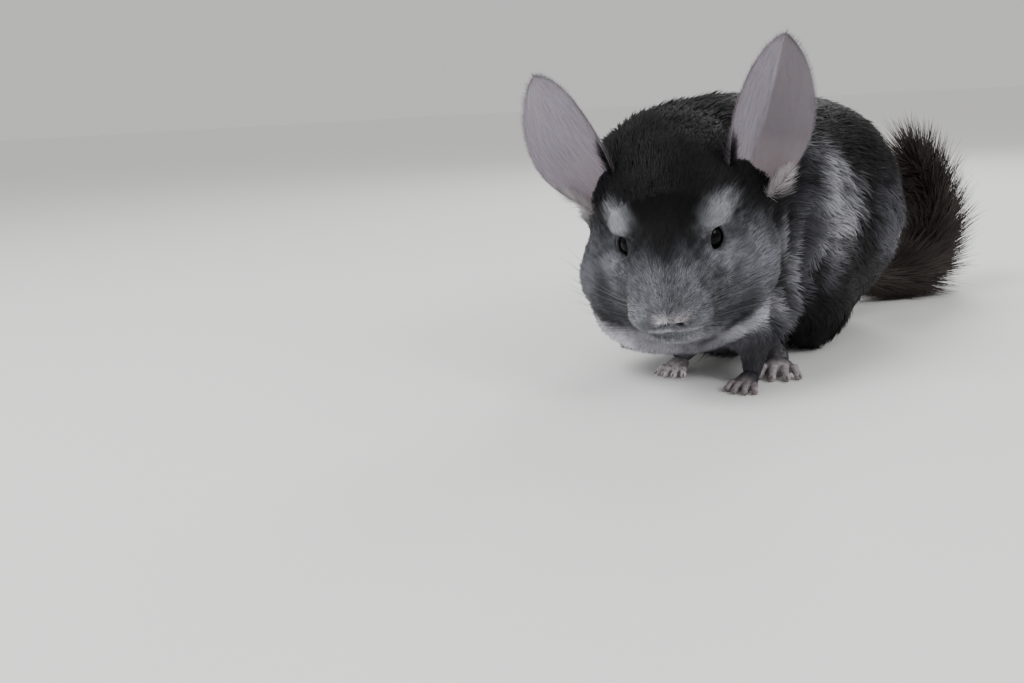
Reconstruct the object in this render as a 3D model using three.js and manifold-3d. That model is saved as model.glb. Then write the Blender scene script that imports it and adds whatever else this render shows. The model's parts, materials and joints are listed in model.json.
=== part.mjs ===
// A crouching chinchilla with a dark velvet coat, life size, in millimetres.
// X points to the animal's left, Y to its tail and Z up. The coat is part of every outline.
import * as THREE from "three";
import { mergeVertices } from "three/addons/utils/BufferGeometryUtils.js";
import Module from "manifold-3d";

const wasm = await Module();
wasm.setup();

// Driving sizes
const GAP = 0.3; // between touching pieces
const BODY_WIDTH = 104;
const BACK_HEIGHT = 110;
const HEAD_PLACE = [8.3, -110, 58]; // the point midway between the eyes
const HEAD_TURN = 23; // degrees to the animal's left
const HEAD_DROP = 27; // degrees below level
const HEAD_ROLL = 5; // degrees, left eye up
const EYE_PLACE = [12.6, 1.6, 2.2]; // the left eye's middle in the head's axes
const EYE_RADIUS = 6.2;
const EAR_LENGTH = 56.5;
const EAR_WIDTH = 28;
const EAR_WALL = 1.3;
const TAIL_CORE = 8.2; // radius of the brush's core
const HAIR_LENGTH = 33; // of the longest tail locks
const LOCK_WIDTH = 9.5;
const LOCK_THICKNESS = 2.6;
const FOOT_LENGTH = 50;
const FLOOR = 0;

const radians = (degrees) => (degrees * Math.PI) / 180;
const add = (a, b) => [a[0] + b[0], a[1] + b[1], a[2] + b[2]];
const sub = (a, b) => [a[0] - b[0], a[1] - b[1], a[2] - b[2]];
const scale = (a, s) => [a[0] * s, a[1] * s, a[2] * s];
const dot = (a, b) => a[0] * b[0] + a[1] * b[1] + a[2] * b[2];
const cross = (a, b) => [a[1] * b[2] - a[2] * b[1], a[2] * b[0] - a[0] * b[2], a[0] * b[1] - a[1] * b[0]];
const unit = (a) => scale(a, 1 / Math.hypot(...a));
const mix = (a, b, t) => add(scale(a, 1 - t), scale(b, t));

// The head's own axes: side to its left, forward to the nose, and up
function headAxes() {
  const turn = radians(HEAD_TURN);
  const drop = radians(HEAD_DROP);
  const roll = radians(HEAD_ROLL);
  const forward = [Math.sin(turn) * Math.cos(drop), -Math.cos(turn) * Math.cos(drop), -Math.sin(drop)];
  const level = [Math.cos(turn), Math.sin(turn), 0];
  const upright = cross(forward, level);
  const side = add(scale(level, Math.cos(roll)), scale(upright, Math.sin(roll)));
  const up = sub(scale(upright, Math.cos(roll)), scale(level, Math.sin(roll)));
  return { side, forward, up };
}
const HEAD = headAxes();
const headPoint = (s, f, u) =>
  add(HEAD_PLACE, add(scale(HEAD.side, s), add(scale(HEAD.forward, f), scale(HEAD.up, u))));
const headDirection = (s, f, u) =>
  unit(add(scale(HEAD.side, s), add(scale(HEAD.forward, f), scale(HEAD.up, u))));

// Rounded masses of the body: centre, radii and how widely each blends into the rest
const BODY_MASSES = [
  [[0, 15, 55], [BODY_WIDTH / 2 - 2, 53, 53.5], 1],
  [[13, 3, 32], [22, 32, 32], 12],
  [[-14, 3, 32], [23, 34, 32], 12],
  [[-3, -32, BACK_HEIGHT - 47], [44, 48, 47], 18],
  [[4, -58, 33], [27, 30, 30], 16],
  [[-1, -64, 72], [38, 36, 38], 18],
  [[-17, -80, 69], [31, 28, 35], 14],
];
// Masses of the head in its own axes
const HEAD_MASSES = [
  [[0, -22, 2], [32, 30, 30], 14],
  [[0, 4, -3], [16, 24, 15], 12],
  [[0, 18, -11], [16, 16, 12], 9],
  [[20, -9, -17], [19, 22, 20], 10],
  [[-22, -9, -18], [20, 22, 20], 10],
  [[0, 6, -24], [20, 20, 12], 10],
  [[-5, -11, -38], [36, 26, 18], 12],
];
// Each front leg as a tapering rod: shoulder, wrist, their radii
const FORELEGS = {
  left: [[22, -62, 30], [28, -84, 7], 12, 5],
  right: [[-12, -60, 30], [-6, -77, 7], 12, 5],
};
// Each thigh as a rounded mass, low on the flank
const THIGHS = {
  left: [[26, -19, 26], [16, 27, 26]],
  right: [[-25, -6, 27], [17, 31, 27]],
};
// Heel and toe root of each hind foot
const HIND_FEET = {
  left: [[16, -38, 0], [31, -67.5, 0]],
  right: [[-25, -14, 0], [-27, -50, 0]],
};

function ellipsoid(p, radii) {
  const near = Math.hypot(p[0] / radii[0], p[1] / radii[1], p[2] / radii[2]);
  const steep = Math.hypot(p[0] / radii[0] ** 2, p[1] / radii[1] ** 2, p[2] / radii[2] ** 2);
  return steep < 1e-9 ? -Math.min(...radii) : (near * (near - 1)) / steep;
}

function taperedRod(p, [from, to, wide, thin]) {
  const run = sub(to, from);
  const t = Math.min(1, Math.max(0, dot(sub(p, from), run) / dot(run, run)));
  return Math.hypot(...sub(p, mix(from, to, t))) - (wide + (thin - wide) * t);
}

function blended(a, b, width) {
  const overlap = Math.max(width - Math.abs(a - b), 0) / width;
  return Math.min(a, b) - (overlap * overlap * width) / 4;
}

// Distance to the coat's surface, negative inside
function coat(p) {
  let d = 1e3;
  for (const [centre, radii, blend] of BODY_MASSES) d = blended(d, ellipsoid(sub(p, centre), radii), blend);
  for (const [centre, radii] of Object.values(THIGHS)) d = blended(d, ellipsoid(sub(p, centre), radii), 9);
  for (const rod of Object.values(FORELEGS)) d = blended(d, taperedRod(p, rod), 10);
  const offset = sub(p, HEAD_PLACE);
  const inHead = [dot(offset, HEAD.side), dot(offset, HEAD.forward), dot(offset, HEAD.up)];
  for (const [centre, radii, blend] of HEAD_MASSES) {
    d = blended(d, ellipsoid(sub(inHead, centre), radii), blend);
  }
  return d;
}

function slope(field, p) {
  const h = 0.05;
  const along = [0, 1, 2].map((k) => {
    const step = [0, 0, 0];
    step[k] = h;
    return (field(add(p, step)) - field(sub(p, step))) / (2 * h);
  });
  return along;
}

// A closed mesh of the field's zero surface inside a box, by surface nets.
// Each point is then drawn onto the surface.
function skinOf(field, low, high, pitch) {
  const count = [0, 1, 2].map((k) => Math.ceil((high[k] - low[k]) / pitch) + 1);
  const at = (i, j, k) => (i * count[1] + j) * count[2] + k;
  const values = new Float64Array(count[0] * count[1] * count[2]);
  for (let i = 0; i < count[0]; i++)
    for (let j = 0; j < count[1]; j++)
      for (let k = 0; k < count[2]; k++) {
        const edge = !i || !j || !k || i === count[0] - 1 || j === count[1] - 1 || k === count[2] - 1;
        const value = field(add(low, scale([i, j, k], pitch)));
        values[at(i, j, k)] = edge ? Math.max(value, 0.01) : value;
      }
  const corners = [0, 1, 2, 3, 4, 5, 6, 7].map((n) => [n & 1, (n >> 1) & 1, (n >> 2) & 1]);
  const points = [];
  const pointOf = new Map();
  for (let i = 0; i < count[0] - 1; i++)
    for (let j = 0; j < count[1] - 1; j++)
      for (let k = 0; k < count[2] - 1; k++) {
        const crossings = [];
        for (const [n, c] of corners.entries())
          for (const axis of [0, 1, 2]) {
            if (c[axis]) continue;
            const other = [...c];
            other[axis] = 1;
            const a = values[at(i + c[0], j + c[1], k + c[2])];
            const b = values[at(i + other[0], j + other[1], k + other[2])];
            if (a < 0 !== b < 0) crossings.push(mix(corners[n], other, a / (a - b)));
          }
        if (!crossings.length) continue;
        const mean = scale(crossings.reduce(add), 1 / crossings.length);
        let p = add(low, scale(add([i, j, k], mean), pitch));
        for (let pass = 0; pass < 3; pass++) {
          const g = slope(field, p);
          const move = Math.max(-pitch / 3, Math.min(pitch / 3, field(p)));
          p = sub(p, scale(g, move / Math.max(dot(g, g), 0.2)));
        }
        pointOf.set(at(i, j, k), points.length / 3);
        points.push(...p);
      }
  const triangles = [];
  for (let i = 0; i < count[0] - 1; i++)
    for (let j = 0; j < count[1] - 1; j++)
      for (let k = 0; k < count[2] - 1; k++)
        for (const axis of [0, 1, 2]) {
          const here = [i, j, k];
          const next = [...here];
          next[axis] += 1;
          const a = values[at(...here)] < 0;
          const b = values[at(...next)] < 0;
          if (a === b) continue;
          const [u, v] = [(axis + 1) % 3, (axis + 2) % 3];
          const ring = [[0, 0], [-1, 0], [-1, -1], [0, -1]].map(([du, dv]) => {
            const cell = [...here];
            cell[u] += du;
            cell[v] += dv;
            return pointOf.get(at(...cell));
          });
          if (a) ring.reverse();
          triangles.push(ring[0], ring[2], ring[1], ring[0], ring[3], ring[2]);
        }
  return solid(new Float32Array(points), new Uint32Array(triangles));
}

const solid = (vertProperties, triVerts) =>
  new wasm.Manifold(new wasm.Mesh({ numProp: 3, vertProperties, triVerts }));

// A three.js geometry as a solid
function solidOf(geometry) {
  const bare = geometry.clone();
  bare.deleteAttribute("normal");
  bare.deleteAttribute("uv");
  const merged = mergeVertices(bare, 1e-4);
  return solid(new Float32Array(merged.attributes.position.array), new Uint32Array(merged.index.array));
}

function largest(made) {
  return made.decompose().reduce((a, b) => (a.volume() > b.volume() ? a : b));
}

// An ellipsoid along given axes
function ball(centre, radii, axes, around = 20, rings = 12) {
  const [x, y] = axes ?? [[1, 0, 0], [0, 1, 0]];
  const turned = new THREE.Matrix4().makeBasis(
    new THREE.Vector3(...scale(x, radii[0])),
    new THREE.Vector3(...scale(y, radii[1])),
    new THREE.Vector3(...scale(cross(x, y), radii[2])),
  );
  turned.setPosition(...centre);
  return solidOf(new THREE.SphereGeometry(1, around, rings).applyMatrix4(turned));
}

// A block that fills everything on the side of a plane its direction points to
function halfSpace(point, direction) {
  const size = 600;
  const block = new THREE.BoxGeometry(size, size, size);
  block.translate(0, 0, size / 2);
  block.lookAt(new THREE.Vector3(...direction));
  block.translate(...point);
  return solidOf(block);
}

// A closed shape through rings of points that all have one count, the last of them drawn to a tip or capped
function loft(rings) {
  const around = rings[0].length;
  const points = rings.flat(2);
  const triangles = [];
  for (let r = 0; r < rings.length - 1; r++)
    for (let k = 0; k < around; k++) {
      const [a, b] = [r * around + k, r * around + ((k + 1) % around)];
      triangles.push(a, b, b + around, a, b + around, a + around);
    }
  const start = points.length / 3;
  points.push(...scale(rings[0].reduce(add), 1 / around), ...scale(rings.at(-1).reduce(add), 1 / around));
  const last = (rings.length - 1) * around;
  for (let k = 0; k < around; k++) {
    const next = (k + 1) % around;
    triangles.push(start, next, k, start + 1, last + k, last + next);
  }
  return solid(new Float32Array(points), new Uint32Array(triangles));
}

// A rod with round ends, through the points, with a radius at each
function limb(path, radii, around = 8) {
  const rings = [];
  let sideways = unit(cross(sub(path[1], path[0]), [0.2, 0.1, 1]));
  const ringAt = (centre, along, radius) => {
    sideways = unit(sub(sideways, scale(along, dot(sideways, along))));
    const upwards = cross(sideways, along);
    const ring = [];
    for (let k = 0; k < around; k++) {
      const angle = (2 * Math.PI * k) / around;
      const across = scale(sideways, radius * Math.cos(angle));
      ring.push(add(centre, add(across, scale(upwards, radius * Math.sin(angle)))));
    }
    return ring.reverse();
  };
  const directions = path.map((p, n) => unit(sub(path[n + 1] ?? p, path[n - 1] ?? p)));
  const ends = around > 6 ? [0.9, 0.5] : [0.7];
  const first = directions[0];
  const last = directions.at(-1);
  for (const end of ends) {
    const radius = radii[0] * Math.sqrt(1 - end * end);
    rings.push(ringAt(sub(path[0], scale(first, radii[0] * end)), first, radius));
  }
  path.forEach((p, n) => rings.push(ringAt(p, directions[n], radii[n])));
  for (const end of [...ends].reverse()) {
    const radius = radii.at(-1) * Math.sqrt(1 - end * end);
    rings.push(ringAt(add(path.at(-1), scale(last, radii.at(-1) * end)), last, radius));
  }
  return loft(rings);
}

const join = (pieces) => wasm.Manifold.union(pieces);

// Repeatable noise from 0 to 1
function randomFrom(seed) {
  let state = seed;
  return () => {
    state = (state * 1664525 + 1013904223) % 4294967296;
    return state / 4294967296;
  };
}

const ground = halfSpace([0, 0, FLOOR], [0, 0, -1]);
const aboveFloor = (made) => made.subtract(ground);
const CLEARANCE = 0.5; // what stands on the coat keeps this far off it
const swollenCoat = (p) => coat(p) - CLEARANCE;

// Where each net is laid and how fine it is
const NETS = {
  trunk: { low: [-64, -160, -8], high: [64, 92, 122], pitch: 9.5 },
  head: { low: [-54, -164, -4], high: [66, -50, 106], pitch: 5.3 },
  forelegs: { low: [-50, -110, -4], high: [60, -40, 44], pitch: 4 },
};
const netted = (name, field) => skinOf(field, NETS[name].low, NETS[name].high, NETS[name].pitch);

// Where the head parts from the neck, and the neck from the shoulders
const HEAD_AXES = [HEAD.side, HEAD.forward, HEAD.up];
const headSpace = (grow) => ball(headPoint(0, -4, -9), [47, 45, 46].map((r) => r + grow), HEAD_AXES, 20, 12);
const NECK_PLANE = { point: [0, -56, 60], normal: unit([0, 1, -0.9]) };
const foreSpace = (side, grow) =>
  ball([FORELEGS[side][1][0], -79, 9], [13, 17, 20].map((r) => r + grow), null, 12, 8);
const thighSpace = (side, grow) =>
  ball(add(THIGHS[side][0], [0, 0, -2]), [22, 34, 30].map((r) => r + grow), null, 16, 10);

function fleshParts() {
  const whole = aboveFloor(netted("trunk", coat));
  const fine = aboveFloor(netted("forelegs", coat));
  const [split, back] = [NECK_PLANE.point, NECK_PLANE.normal];
  const behindNeck = halfSpace(sub(split, scale(back, GAP / 2)), back);
  const beforeTrunk = halfSpace(add(split, scale(back, GAP / 2)), scale(back, -1));
  const parts = {};
  parts.head = aboveFloor(netted("head", coat)).intersect(headSpace(0));
  let rest = whole.subtract(headSpace(GAP));
  for (const side of ["left", "right"]) {
    parts["foreleg_" + side] = fine.intersect(foreSpace(side, 0)).subtract(headSpace(GAP));
    rest = rest.subtract(foreSpace(side, GAP));
    parts["hindleg_" + side] = whole.intersect(thighSpace(side, 0));
    rest = rest.subtract(thighSpace(side, GAP));
  }
  parts.neck = rest.subtract(behindNeck);
  parts.torso = rest.subtract(beforeTrunk);
  return parts;
}

// The eye, its socket and its lids
const EYE_SITES = { left: 1, right: -1 };
const LID = 1.3; // thickness
const EYE_OPENING = [5.4, 3.9, 6]; // along the slit, across it and deep
const eyeCentre = (sign) => headPoint(sign * EYE_PLACE[0], EYE_PLACE[1], EYE_PLACE[2]);
const eyeBall = (sign, grow) => ball(eyeCentre(sign), [0, 1, 2].map(() => EYE_RADIUS + grow), null, 14, 9);
const eyeFacing = (sign) => headDirection(sign * 0.74, 0.58, 0.33);

function lidded(head) {
  let made = head;
  for (const sign of Object.values(EYE_SITES)) {
    const centre = eyeCentre(sign);
    const facing = eyeFacing(sign);
    const slant = headDirection(-sign * 0.3, -0.86, 0.5);
    const across = unit(sub(slant, scale(facing, dot(slant, facing))));
    const over = cross(facing, across);
    const axes = [across, over, facing];
    const lid = ball(centre, axes.map(() => EYE_RADIUS + LID), axes, 16, 10);
    const opening = ball(add(centre, scale(facing, EYE_RADIUS + 1)), EYE_OPENING, axes, 14, 10);
    made = made.add(lid).subtract(opening).subtract(eyeBall(sign, GAP));
  }
  return made;
}

// Nostrils, the cleft of the lip and the line of the mouth
const NOSE = [3.2, 33.3, -8.1]; // the left nostril in the head's axes
function mouthed(head) {
  let made = head;
  for (const sign of [1, -1]) {
    const axes = [headDirection(sign * 0.8, 0.1, 0.5), headDirection(0.2 * sign, 1, 0)];
    const nostril = headPoint(sign * NOSE[0], NOSE[1], NOSE[2]);
    made = made.subtract(ball(nostril, [2.3, 3.2, 1.1], axes, 10, 6));
  }
  const cleft = [];
  for (const [f, u] of [[34.6, -9.5], [33.8, -13], [31, -16.6]]) cleft.push(headPoint(0, f, u));
  made = made.subtract(limb(cleft, [0.7, 0.9, 0.8], 6));
  const line = [];
  const turns = 8;
  for (let n = 0; n <= turns; n++) {
    const swing = radians(-62 + (124 * n) / turns);
    const sag = 1.8 * Math.sin(swing) ** 2;
    line.push(headPoint(13.5 * Math.sin(swing), 17 + 14.2 * Math.cos(swing), -17.2 - sag));
  }
  return made.subtract(limb(line, line.map(() => 0.9), 6));
}

// A cupped ear, alike on both faces, rooted in the head
const EARS = {
  left: { root: [28, -26, 11], lean: [0.3, -0.4, 0.87], face: [0.3, 0.84, 0.35] },
  right: { root: [-28, -26, 13], lean: [-0.47, -0.38, 0.83], face: [-0.16, 0.9, 0.36] },
};
const EAR_SUNK = 8; // how far its foot lies in the head
const EAR_WIDEST = 0.46; // the share of its length where it is widest
function earFullness(t) {
  if (t < EAR_WIDEST) return 0.5 + 0.5 * Math.sin((Math.PI / 2) * (t / EAR_WIDEST));
  const past = (t - EAR_WIDEST) / (1 - EAR_WIDEST);
  return Math.max(0.05, (1 - past ** 2) ** 0.66);
}

function ear(side) {
  const { root, lean, face } = EARS[side];
  const sign = EYE_SITES[side];
  const along = headDirection(...lean);
  const facing = headDirection(...face);
  const front = unit(sub(facing, scale(along, dot(facing, along))));
  const across = cross(along, front);
  const base = headPoint(...root);
  const [steps, spread] = [10, 8];
  const place = (t, w, out) => {
    const halfWidth = (EAR_WIDTH / 2) * earFullness(t);
    const cup = radians(72 - 30 * t);
    const bend = w * cup;
    const reach = halfWidth / Math.sin(cup);
    const hollow = reach * (1 - Math.cos(bend)) * (1 - 0.35 * t);
    const tilt = 5 * Math.sin(Math.PI * t) - 4 * t * t;
    const wall = out * (EAR_WALL / 2) * (1 - 0.3 * t);
    const depth = hollow + tilt + wall * Math.cos(bend);
    const aside = (reach - wall) * Math.sin(bend) + sign * 2 * t;
    const rise = EAR_LENGTH * t - EAR_SUNK;
    return add(base, add(scale(along, rise), add(scale(across, aside), scale(front, depth))));
  };
  const rings = [];
  for (let n = 0; n <= steps; n++) {
    const t = n / steps;
    const ring = [];
    for (let k = 0; k <= spread; k++) ring.push(place(t, (2 * k) / spread - 1, 1));
    for (let k = spread; k >= 0; k--) ring.push(place(t, (2 * k) / spread - 1, -1));
    rings.push(ring);
  }
  return loft(rings);
}

// A paw: palm or sole, toes in a fan and a small nail on each
function paw(heel, front, width, height, toes, toeLength, toeRadius, spreadAngle) {
  const run = sub(front, heel);
  const along = unit(run);
  const aside = unit(cross(along, [0, 0, 1]));
  const middle = mix(heel, front, 0.5);
  const axes = [aside, along];
  const sole = [width / 2, Math.hypot(...run) / 2 + 3, height * 0.62];
  const pad = [width * 0.6, width * 0.62, height * 0.5];
  const pieces = [
    ball(add(middle, [0, 0, height * 0.45]), sole, axes, 10, 6),
    ball(add(front, [0, 0, height * 0.4]), pad, axes, 8, 5),
  ];
  for (let n = 0; n < toes; n++) {
    const fan = (n / (toes - 1)) * 2 - 1;
    const angle = radians(spreadAngle * fan);
    const out = add(scale(along, Math.cos(angle)), scale(aside, Math.sin(angle)));
    const length = toeLength * (1 - 0.22 * fan * fan);
    const from = add(front, add(scale(aside, width * 0.4 * fan), [0, 0, toeRadius * 1.25]));
    const knuckle = add(from, add(scale(out, length * 0.55), [0, 0, toeRadius * 0.55]));
    const tip = add(from, add(scale(out, length), [0, 0, -toeRadius * 0.45]));
    pieces.push(limb([from, knuckle, tip], [toeRadius, toeRadius * 0.95, toeRadius * 0.85], 5));
    const nail = add(tip, add(scale(out, toeRadius * 1.9), [0, 0, 0.1]));
    pieces.push(limb([tip, nail], [toeRadius * 0.42, toeRadius * 0.2], 4));
  }
  return join(pieces);
}

// The tail's middle line: back from the rump, then up and round
const TAIL_BENDS = [
  [2, 58, 24],
  [14, 78, 13],
  [24, 96, 11],
  [31, 114, 16],
  [35, 123, 34],
  [32, 121, 54],
  [27, 113, 70],
].map((p) => new THREE.Vector3(...p));
const TAIL_LINE = new THREE.CatmullRomCurve3(TAIL_BENDS, false, "centripetal");
const tailPoint = (t) => TAIL_LINE.getPointAt(t).toArray();
const tailRadius = (t) => TAIL_CORE * (1 - 0.35 * Math.max(0, (t - 0.55) / 0.45) ** 2);
// Where the brush begins, and where its upper half does
const BRUSH_START = 0.34;
const BRUSH_MIDDLE = 0.7;

function tailRod(from, to, steps) {
  const path = [];
  const radii = [];
  for (let n = 0; n <= steps; n++) {
    const t = from + ((to - from) * n) / steps;
    path.push(tailPoint(t));
    radii.push(tailRadius(t));
  }
  return limb(path, radii, 12);
}

// A flat tapered lock of hair, from its root along a way that turns from start to finish
function lock(root, start, finish, length, width, thickness) {
  const steps = [0, 0.35, 0.72, 1];
  const breadth = [0.75, 1, 0.72, 0.08];
  const flat = unit(cross(start, finish));
  let centre = root;
  const rings = steps.map((t, n) => {
    const along = unit(mix(start, finish, t));
    if (n) centre = add(centre, scale(along, length * (t - steps[n - 1])));
    const over = cross(along, flat);
    const wide = scale(flat, (width / 2) * breadth[n]);
    const thick = scale(over, (thickness / 2) * breadth[n]);
    return [add(centre, wide), add(centre, thick), sub(centre, wide), sub(centre, thick)];
  });
  const made = loft(rings);
  return made.volume() > 0 ? made : loft(rings.map((ring) => [...ring].reverse()));
}

// Rows of locks round the tail, longest at the middle of the brush
function tailLocks() {
  const random = randomFrom(7);
  const rows = 9;
  const perRow = 6;
  const first = BRUSH_START + 0.03;
  const locks = [];
  for (let row = 0; row < rows; row++) {
    const t = first + ((0.985 - first) * row) / (rows - 1);
    const along = TAIL_LINE.getTangentAt(t).toArray();
    const sideways = unit(cross(along, [1, 0, 0]));
    const other = cross(along, sideways);
    for (let k = 0; k < perRow; k++) {
      const angle = (2 * Math.PI * (k + 0.5 * (row % 2) + 0.3 * (random() - 0.5))) / perRow;
      const out = add(scale(sideways, Math.cos(angle)), scale(other, Math.sin(angle)));
      const root = add(tailPoint(t), scale(out, tailRadius(t) * 0.3));
      const start = unit(add(scale(out, 0.9), scale(along, 0.75)));
      const finish = unit(add(scale(out, 0.2 + 0.25 * random()), add(scale(along, 0.95), [0, 0, 0.25])));
      const share = 0.58 + 0.42 * Math.min(1, (t - BRUSH_START) / 0.3) - 0.3 * Math.max(0, t - 0.7);
      const length = HAIR_LENGTH * share * (0.85 + 0.25 * random());
      locks.push(lock(root, start, finish, length, LOCK_WIDTH, LOCK_THICKNESS));
    }
  }
  return locks;
}

const LOOKS = {
  black: { color: 0x1c1c20, roughness: 0.85, metalness: 0 },
  grey: { color: 0x55555c, roughness: 0.85, metalness: 0 },
  ear: { color: 0x8b7f88, roughness: 0.7, metalness: 0 },
  eye: { color: 0x0d0b0b, roughness: 0.08, metalness: 0 },
  paw: { color: 0xa9a3a8, roughness: 0.7, metalness: 0 },
  brush: { color: 0x241f1e, roughness: 0.8, metalness: 0 },
};

// The tail's root and the two halves of its brush, parted by thin cuts across its line
function tailParts() {
  const cut = (t, way) => {
    const along = scale(TAIL_LINE.getTangentAt(t).toArray(), way);
    return halfSpace(sub(tailPoint(t), scale(along, GAP / 2)), along);
  };
  const brush = aboveFloor(join([tailRod(BRUSH_START - 0.08, 1, 12), ...tailLocks()]));
  return {
    tail_base: aboveFloor(tailRod(0, BRUSH_START + 0.08, 8)).subtract(cut(BRUSH_START, 1)),
    tail_brush: brush.subtract(cut(BRUSH_START, -1)).subtract(cut(BRUSH_MIDDLE, 1)),
    tail_tip: brush.subtract(cut(BRUSH_MIDDLE, -1)),
  };
}

function animal() {
  const parts = fleshParts();
  const swollen = join(Object.keys(NETS).map((name) => netted(name, swollenCoat)));
  const solids = {};
  solids.head = { made: mouthed(lidded(parts.head)), look: "grey" };
  solids.neck = { made: parts.neck, look: "black" };
  solids.torso = { made: parts.torso, look: "black" };
  for (const side of ["left", "right"]) {
    solids["eye_" + side] = { made: eyeBall(EYE_SITES[side], 0), look: "eye" };
    solids["ear_" + side] = { made: ear(side).subtract(swollen), look: "ear" };
    solids["foreleg_" + side] = { made: parts["foreleg_" + side], look: "grey" };
    solids["hindleg_" + side] = { made: parts["hindleg_" + side], look: "black" };
    const [x, y] = FORELEGS[side][1];
    const hand = paw([x, y - 1, FLOOR], [x + 1, y - 8, FLOOR], 8, 6, 4, 8, 1.6, 20);
    solids["forepaw_" + side] = { made: aboveFloor(hand).subtract(swollen), look: "paw" };
    const [heel, front] = HIND_FEET[side];
    const foot = paw(heel, front, 11, 8, 4, FOOT_LENGTH * 0.22, 2.1, 20);
    solids["hindfoot_" + side] = { made: aboveFloor(foot).subtract(swollen), look: "paw" };
  }
  for (const [name, made] of Object.entries(tailParts())) {
    solids[name] = { made: made.subtract(swollen), look: name === "tail_base" ? "grey" : "brush" };
  }
  return solids;
}

function meshOf(name, made, look) {
  const { numProp, vertProperties, triVerts } = made.getMesh();
  const geometry = new THREE.BufferGeometry();
  const positions = new Float32Array((vertProperties.length / numProp) * 3);
  for (let n = 0; n < positions.length / 3; n++)
    positions.set(vertProperties.subarray(n * numProp, n * numProp + 3), n * 3);
  geometry.setAttribute("position", new THREE.BufferAttribute(positions, 3));
  geometry.setIndex(new THREE.BufferAttribute(triVerts, 1));
  geometry.computeVertexNormals();
  const mesh = new THREE.Mesh(geometry, new THREE.MeshStandardMaterial(LOOKS[look]));
  mesh.name = name;
  return mesh;
}

const chinchilla = new THREE.Group();
for (const [name, { made, look }] of Object.entries(animal())) {
  chinchilla.add(meshOf(name, largest(made), look));
}

// The part's origin is the middle of its footprint, on the floor
const box = new THREE.Box3().setFromObject(chinchilla);
chinchilla.position.set(-(box.min.x + box.max.x) / 2, -(box.min.y + box.max.y) / 2, -box.min.z);

export default chinchilla;
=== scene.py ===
import json
import math
import bpy
import numpy as np
from mathutils import Matrix, Vector

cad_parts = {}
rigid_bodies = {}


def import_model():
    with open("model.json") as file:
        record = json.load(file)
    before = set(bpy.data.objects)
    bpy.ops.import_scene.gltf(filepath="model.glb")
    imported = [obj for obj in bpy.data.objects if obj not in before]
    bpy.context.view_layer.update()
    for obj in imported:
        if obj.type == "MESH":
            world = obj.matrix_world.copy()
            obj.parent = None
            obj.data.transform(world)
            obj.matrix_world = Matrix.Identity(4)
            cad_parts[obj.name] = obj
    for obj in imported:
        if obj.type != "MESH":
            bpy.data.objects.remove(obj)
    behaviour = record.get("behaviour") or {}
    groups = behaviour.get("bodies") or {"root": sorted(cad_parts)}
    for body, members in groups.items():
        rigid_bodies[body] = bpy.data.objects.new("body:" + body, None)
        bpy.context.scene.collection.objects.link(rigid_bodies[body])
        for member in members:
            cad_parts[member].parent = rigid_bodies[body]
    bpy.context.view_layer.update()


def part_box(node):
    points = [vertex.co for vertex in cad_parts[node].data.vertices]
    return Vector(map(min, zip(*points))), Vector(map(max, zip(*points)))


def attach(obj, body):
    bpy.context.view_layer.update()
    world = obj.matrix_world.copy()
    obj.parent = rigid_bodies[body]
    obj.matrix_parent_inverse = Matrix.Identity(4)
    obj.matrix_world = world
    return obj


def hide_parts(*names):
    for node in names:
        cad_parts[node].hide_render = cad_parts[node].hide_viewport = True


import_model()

# Sizes below are in millimetres, in the animal's own frame: X to its left, Y to its tail, Z up.
headPose = {"place": (8.3, -110, 58), "turn": 23, "drop": 27, "roll": 5}
eyeForm = {
    "place": (12.6, 1.6, 2.2), "radius": 6.2,
    "facing": (0.68, 0.66, 0.32), "slant": (0.3, 0.86, 0.5),
    "lid": 0.9, "rim": (4.9, 3.4, 4), "opening": (4.7, 3.0, 5.5), "drop": 0.3, "bare": (5.9, 4.1),
}

bodyForm = {
    # centre, radii and blend width of each rounded mass
    "masses": [
        ((0, 15, 55), (50, 53, 53.5), 1),
        ((13, 3, 32), (22, 32, 32), 12),
        ((-14, 3, 32), (23, 34, 32), 12),
        ((-3, -32, 63), (44, 48, 47), 18),
        ((4, -58, 33), (27, 30, 30), 16),
        ((-1, -64, 72), (38, 36, 38), 18),
        ((-17, -80, 69), (31, 28, 35), 14),
    ],
    "thighs": [((26, -19, 26), (16, 27, 26)), ((-25, -6, 27), (17, 31, 27))],
    # shoulder, wrist and their radii
    "forelegs": [((22, -62, 30), (28, -84, 7), 12, 5), ((-12, -60, 30), (-6, -77, 7), 12, 5)],
}

headForm = {
    # the same in the head's own axes: to its left, forwards and up
    "masses": [
        ((0, -22, 2), (32, 30, 30), 14),
        ((0, 4, -3), (16, 24, 15), 12),
        ((0, 18, -11), (16, 16, 12), 9),
        ((20, -9, -17), (19, 22, 20), 10),
        ((-22, -9, -18), (20, 22, 20), 10),
        ((0, 6, -24), (20, 20, 12), 10),
        ((-5, -11, -38), (36, 26, 18), 12),
    ],
    # small forms of the face that only show here
    "details": [
        ((15, 3, 10.2), (7, 5.5, 3.3), 5),
        ((-15, 3, 10.2), (7, 5.5, 3.3), 5),
        ((16, 8, -6.5), (6, 6, 3), 5),
        ((-16, 8, -6.5), (6, 6, 3), 5),
        ((7.5, 25, -13), (8, 8, 6), 4),
        ((-7.5, 25, -13), (8, 8, 6), 4),
        ((15.5, 8, -12), (8, 8.5, 10), 9),
        ((-15.5, 8, -12), (8, 8.5, 10), 9),
    ],
}


def unit(v):
    v = np.asarray(v, float)
    return v / np.maximum(np.linalg.norm(v, axis=-1, keepdims=True), 1e-9)


# A direction laid flat on a surface
def flattened(way, normals):
    return unit(way - normals * (way * normals).sum(1)[:, None])


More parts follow.
